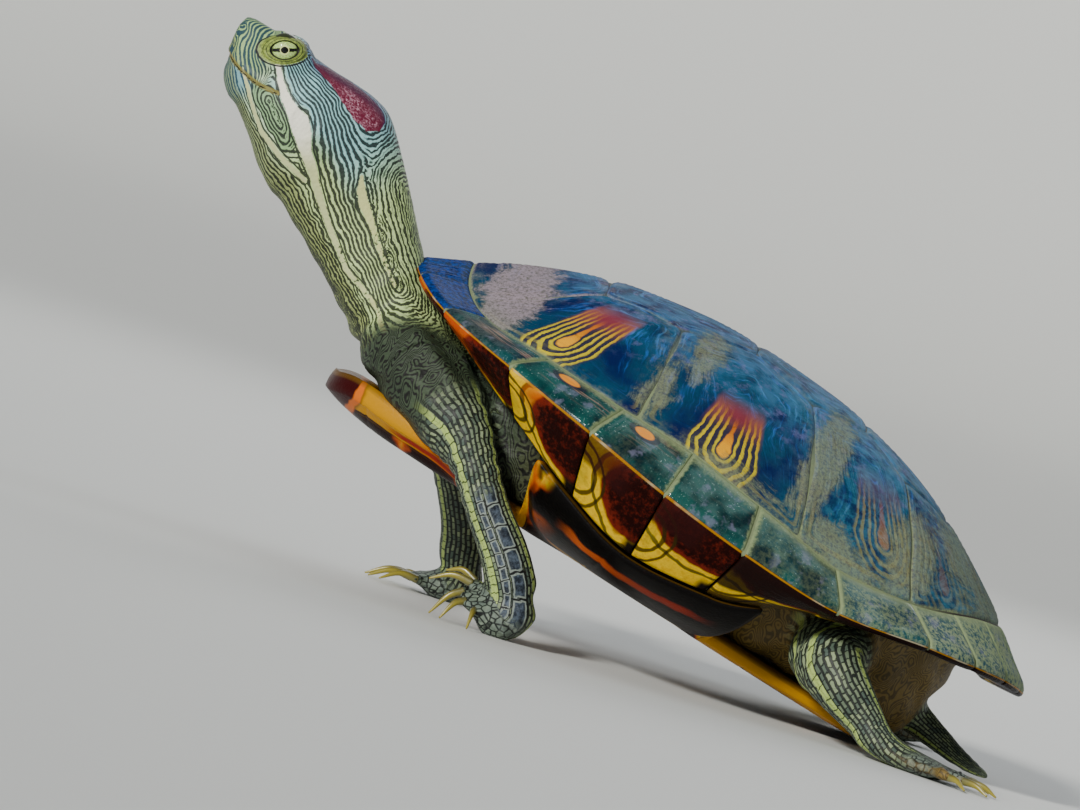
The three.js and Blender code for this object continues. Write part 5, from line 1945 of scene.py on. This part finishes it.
class SliderStage(bpy.types.PropertyGroup):
    """Camera, floor and light."""
    distance: FloatProperty(name="Camera distance", description="From the middle of the view",
                            default=2.5, min=1.0, max=5.0, unit="LENGTH", subtype="DISTANCE")
    lens: FloatProperty(name="Lens", description="Focal length for a sensor 36 mm wide",
                        default=308.6, min=50.0, max=600.0, unit="CAMERA")
    floor: tint("Floor", "Floor and backdrop", "d9dbd8")
    key: FloatProperty(name="Key light", description="Strength of the light above the front",
                       default=3.9, min=0.0, max=20.0, subtype="UNSIGNED")


def scene_look():
    return bpy.context.scene.slider_look


class SLIDER_OT_shell(bpy.types.Operator):
    """Adds the closed shell and the scutes of its dome and rim"""
    bl_idname = "slider.shell"
    bl_label = "Shell"

    def execute(self, context):
        look = scene_look()
        make_object("shell_base", shell_base(), base_finish(look), ["carapace"])
        dome_scutes = scute_finish(look)
        make_object("vertebral_scutes", vertebrals(), dome_scutes)
        make_object("pleural_scutes", pleurals(), dome_scutes)
        make_object("marginal_scutes", marginals(), marginal_finish(look))
        return {"FINISHED"}


class SLIDER_OT_plastron(bpy.types.Operator):
    """Adds the plastron with its bridges"""
    bl_idname = "slider.plastron"
    bl_label = "Plastron"

    def execute(self, context):
        make_object("plastron_scutes", plastron(), plastron_finish(scene_look()), ["plastron"])
        return {"FINISHED"}


class SLIDER_OT_skin(bpy.types.Operator):
    """Adds the skin over head, neck, limbs and tail"""
    bl_idname = "slider.skin"
    bl_label = "Skin"

    def execute(self, context):
        soft = ["trunk", "head", "lower_jaw", "neck_upper", "neck_base", "tail"]
        soft += [f"foreleg_{side}_{part}" for side, _ in SIDES
                 for part in ("upper_arm", "forearm", "foot")]
        soft += [f"hindleg_{side}_{part}" for side, _ in SIDES
                 for part in ("thigh", "shank", "foot")]
        make_object("skin", skin_shape(), skin_finish(scene_look()), soft)
        return {"FINISHED"}


class SLIDER_OT_eyes(bpy.types.Operator):
    """Adds both eyes"""
    bl_idname = "slider.eyes"
    bl_label = "Eyes"

    def execute(self, context):
        finish = eye_finish(scene_look())
        for name, side in SIDES:
            make_object(f"eyeball_{name}", eye_shape(side), finish, [f"eye_{name}"])
        return {"FINISHED"}


class SLIDER_OT_claws(bpy.types.Operator):
    """Adds the claws of all four feet"""
    bl_idname = "slider.claws"
    bl_label = "Claws"

    def execute(self, context):
        finish = claw_finish(scene_look())
        for name, leg in LEGS.items():
            nodes = [f"{name}_claw_{i + 1}" for i in range(len(leg["toes"]))]
            make_object(f"{name}_claws", joined(list(claw_shapes(leg))), finish, nodes)
        return {"FINISHED"}


def bowl():
    """Floor and backdrop in one: a disc that turns up into a quarter circle all round."""
    turn = turns(96)
    flat, bend = 6000, 2500
    curl = np.radians(np.linspace(6, 90, 15))
    radius = np.append((60, 200, 500, 1200, 2500, 4000, flat), flat + bend * np.sin(curl))
    height = np.append(np.zeros(7), bend - bend * np.cos(curl))[:, None]
    rings = np.stack(np.broadcast_arrays(
        radius[:, None] * np.cos(turn), radius[:, None] * np.sin(turn), height), -1)
    made = skinned((0, 0, 0), rings, (0, 0, 0))
    return Shape(made.points[:-1], made.quads[:, ::-1], made.tris[:len(turn), ::-1])


def aim(thing, target, roll=0):
    """Turns a camera or lamp towards a place."""
    way = Vector(target) - thing.location
    turn = way.to_track_quat("-Z", "Y").to_matrix().to_4x4()
    thing.matrix_world = Matrix.Translation(thing.location) @ turn @ Matrix.Rotation(roll, 4, "Z")


def lamp(name, place, size, power, tone=(1, 1, 1)):
    """A rectangular lamp that shines on the model."""
    data = bpy.data.lights.new(name, "AREA")
    data.shape = "RECTANGLE"
    data.size, data.size_y = size
    data.energy = power
    data.color = tone
    thing = bpy.data.objects.new(name, data)
    bpy.context.scene.collection.objects.link(thing)
    thing.location = place
    bpy.context.view_layer.update()
    aim(thing, LIT_MIDDLE)


VIEW_MIDDLE = (-0.0192, 0, 0.0608)
VIEW_TURN, VIEW_RISE, VIEW_ROLL = np.radians((2, 1.5, 17.6))  # off the y axis, up, about itself
LIT_MIDDLE = (0.01, 0, 0.06)


class SLIDER_OT_stage(bpy.types.Operator):
    """Adds the pale floor and backdrop, the lights and the camera"""
    bl_idname = "slider.stage"
    bl_label = "Stage"

    def execute(self, context):
        stage = context.scene.slider_stage
        f = Finish("stage")
        made = make_object("floor", bowl(), None)
        made.data.materials.append(f.done((*stage.floor, 1.0), 0.6))
        world = bpy.data.worlds.new("soft room")
        context.scene.world = world
        world.use_nodes = True
        sky = world.node_tree.nodes["Background"]
        sky.inputs["Color"].default_value = (0.86, 0.92, 1.0, 1.0)
        sky.inputs["Strength"].default_value = 0.22
        sun = bpy.data.lights.new("key", "SUN")
        sun.energy = stage.key
        sun.angle = math.radians(9)
        sun.color = (1.0, 0.975, 0.93)
        key = bpy.data.objects.new("key", sun)
        context.scene.collection.objects.link(key)
        key.location = (-0.85, -1.25, 0.8)
        context.view_layer.update()
        aim(key, LIT_MIDDLE)
        lamp("top", (0.5, 0.15, 1.3), (1.1, 0.8), 3, (0.9, 0.95, 1))
        lamp("back", (0.3, 1.2, 0.8), (0.9, 0.6), 4)
        data = bpy.data.cameras.new("camera")
        data.sensor_width = 36
        data.lens = stage.lens
        data.clip_start, data.clip_end = 0.1, 40
        camera = bpy.data.objects.new("camera", data)
        context.scene.collection.objects.link(camera)
        level = math.cos(VIEW_RISE)
        way = Vector((-math.sin(VIEW_TURN) * level, -math.cos(VIEW_TURN) * level,
                      math.sin(VIEW_RISE)))
        camera.location = Vector(VIEW_MIDDLE) + way * stage.distance
        context.view_layer.update()
        aim(camera, VIEW_MIDDLE, VIEW_ROLL)
        context.scene.camera = camera
        return {"FINISHED"}


OPERATORS = (SLIDER_OT_shell, SLIDER_OT_plastron, SLIDER_OT_skin, SLIDER_OT_eyes,
             SLIDER_OT_claws, SLIDER_OT_stage)


class SLIDER_PT_panel(bpy.types.Panel):
    """Buttons and settings of the model"""
    bl_label = "Slider turtle"
    bl_idname = "SLIDER_PT_panel"
    bl_space_type = "VIEW_3D"
    bl_region_type = "UI"
    bl_category = "Slider"

    def draw(self, context):
        for operator in OPERATORS:
            self.layout.operator(operator.bl_idname)
        for key in SETTINGS:
            group = getattr(context.scene, key)
            box = self.layout.box()
            for name in group.__annotations__:
                box.prop(group, name)


SETTINGS = {"slider_sizes": SliderSizes, "slider_look": SliderLook, "slider_stage": SliderStage}
CLASSES = (*SETTINGS.values(), *OPERATORS, SLIDER_PT_panel)


def register():
    for kind in CLASSES:
        bpy.utils.register_class(kind)
    for name, group in SETTINGS.items():
        setattr(bpy.types.Scene, name, PointerProperty(type=group))


def unregister():
    for name in SETTINGS:
        delattr(bpy.types.Scene, name)
    for kind in reversed(CLASSES):
        bpy.utils.unregister_class(kind)


def main():
    register()
    for operator in OPERATORS:
        group, name = operator.bl_idname.split(".")
        result = getattr(getattr(bpy.ops, group), name)()
        if result != {"FINISHED"}:
            raise RuntimeError(f"{operator.bl_label} was not built")
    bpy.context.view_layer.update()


if __name__ == "__main__":
    main()
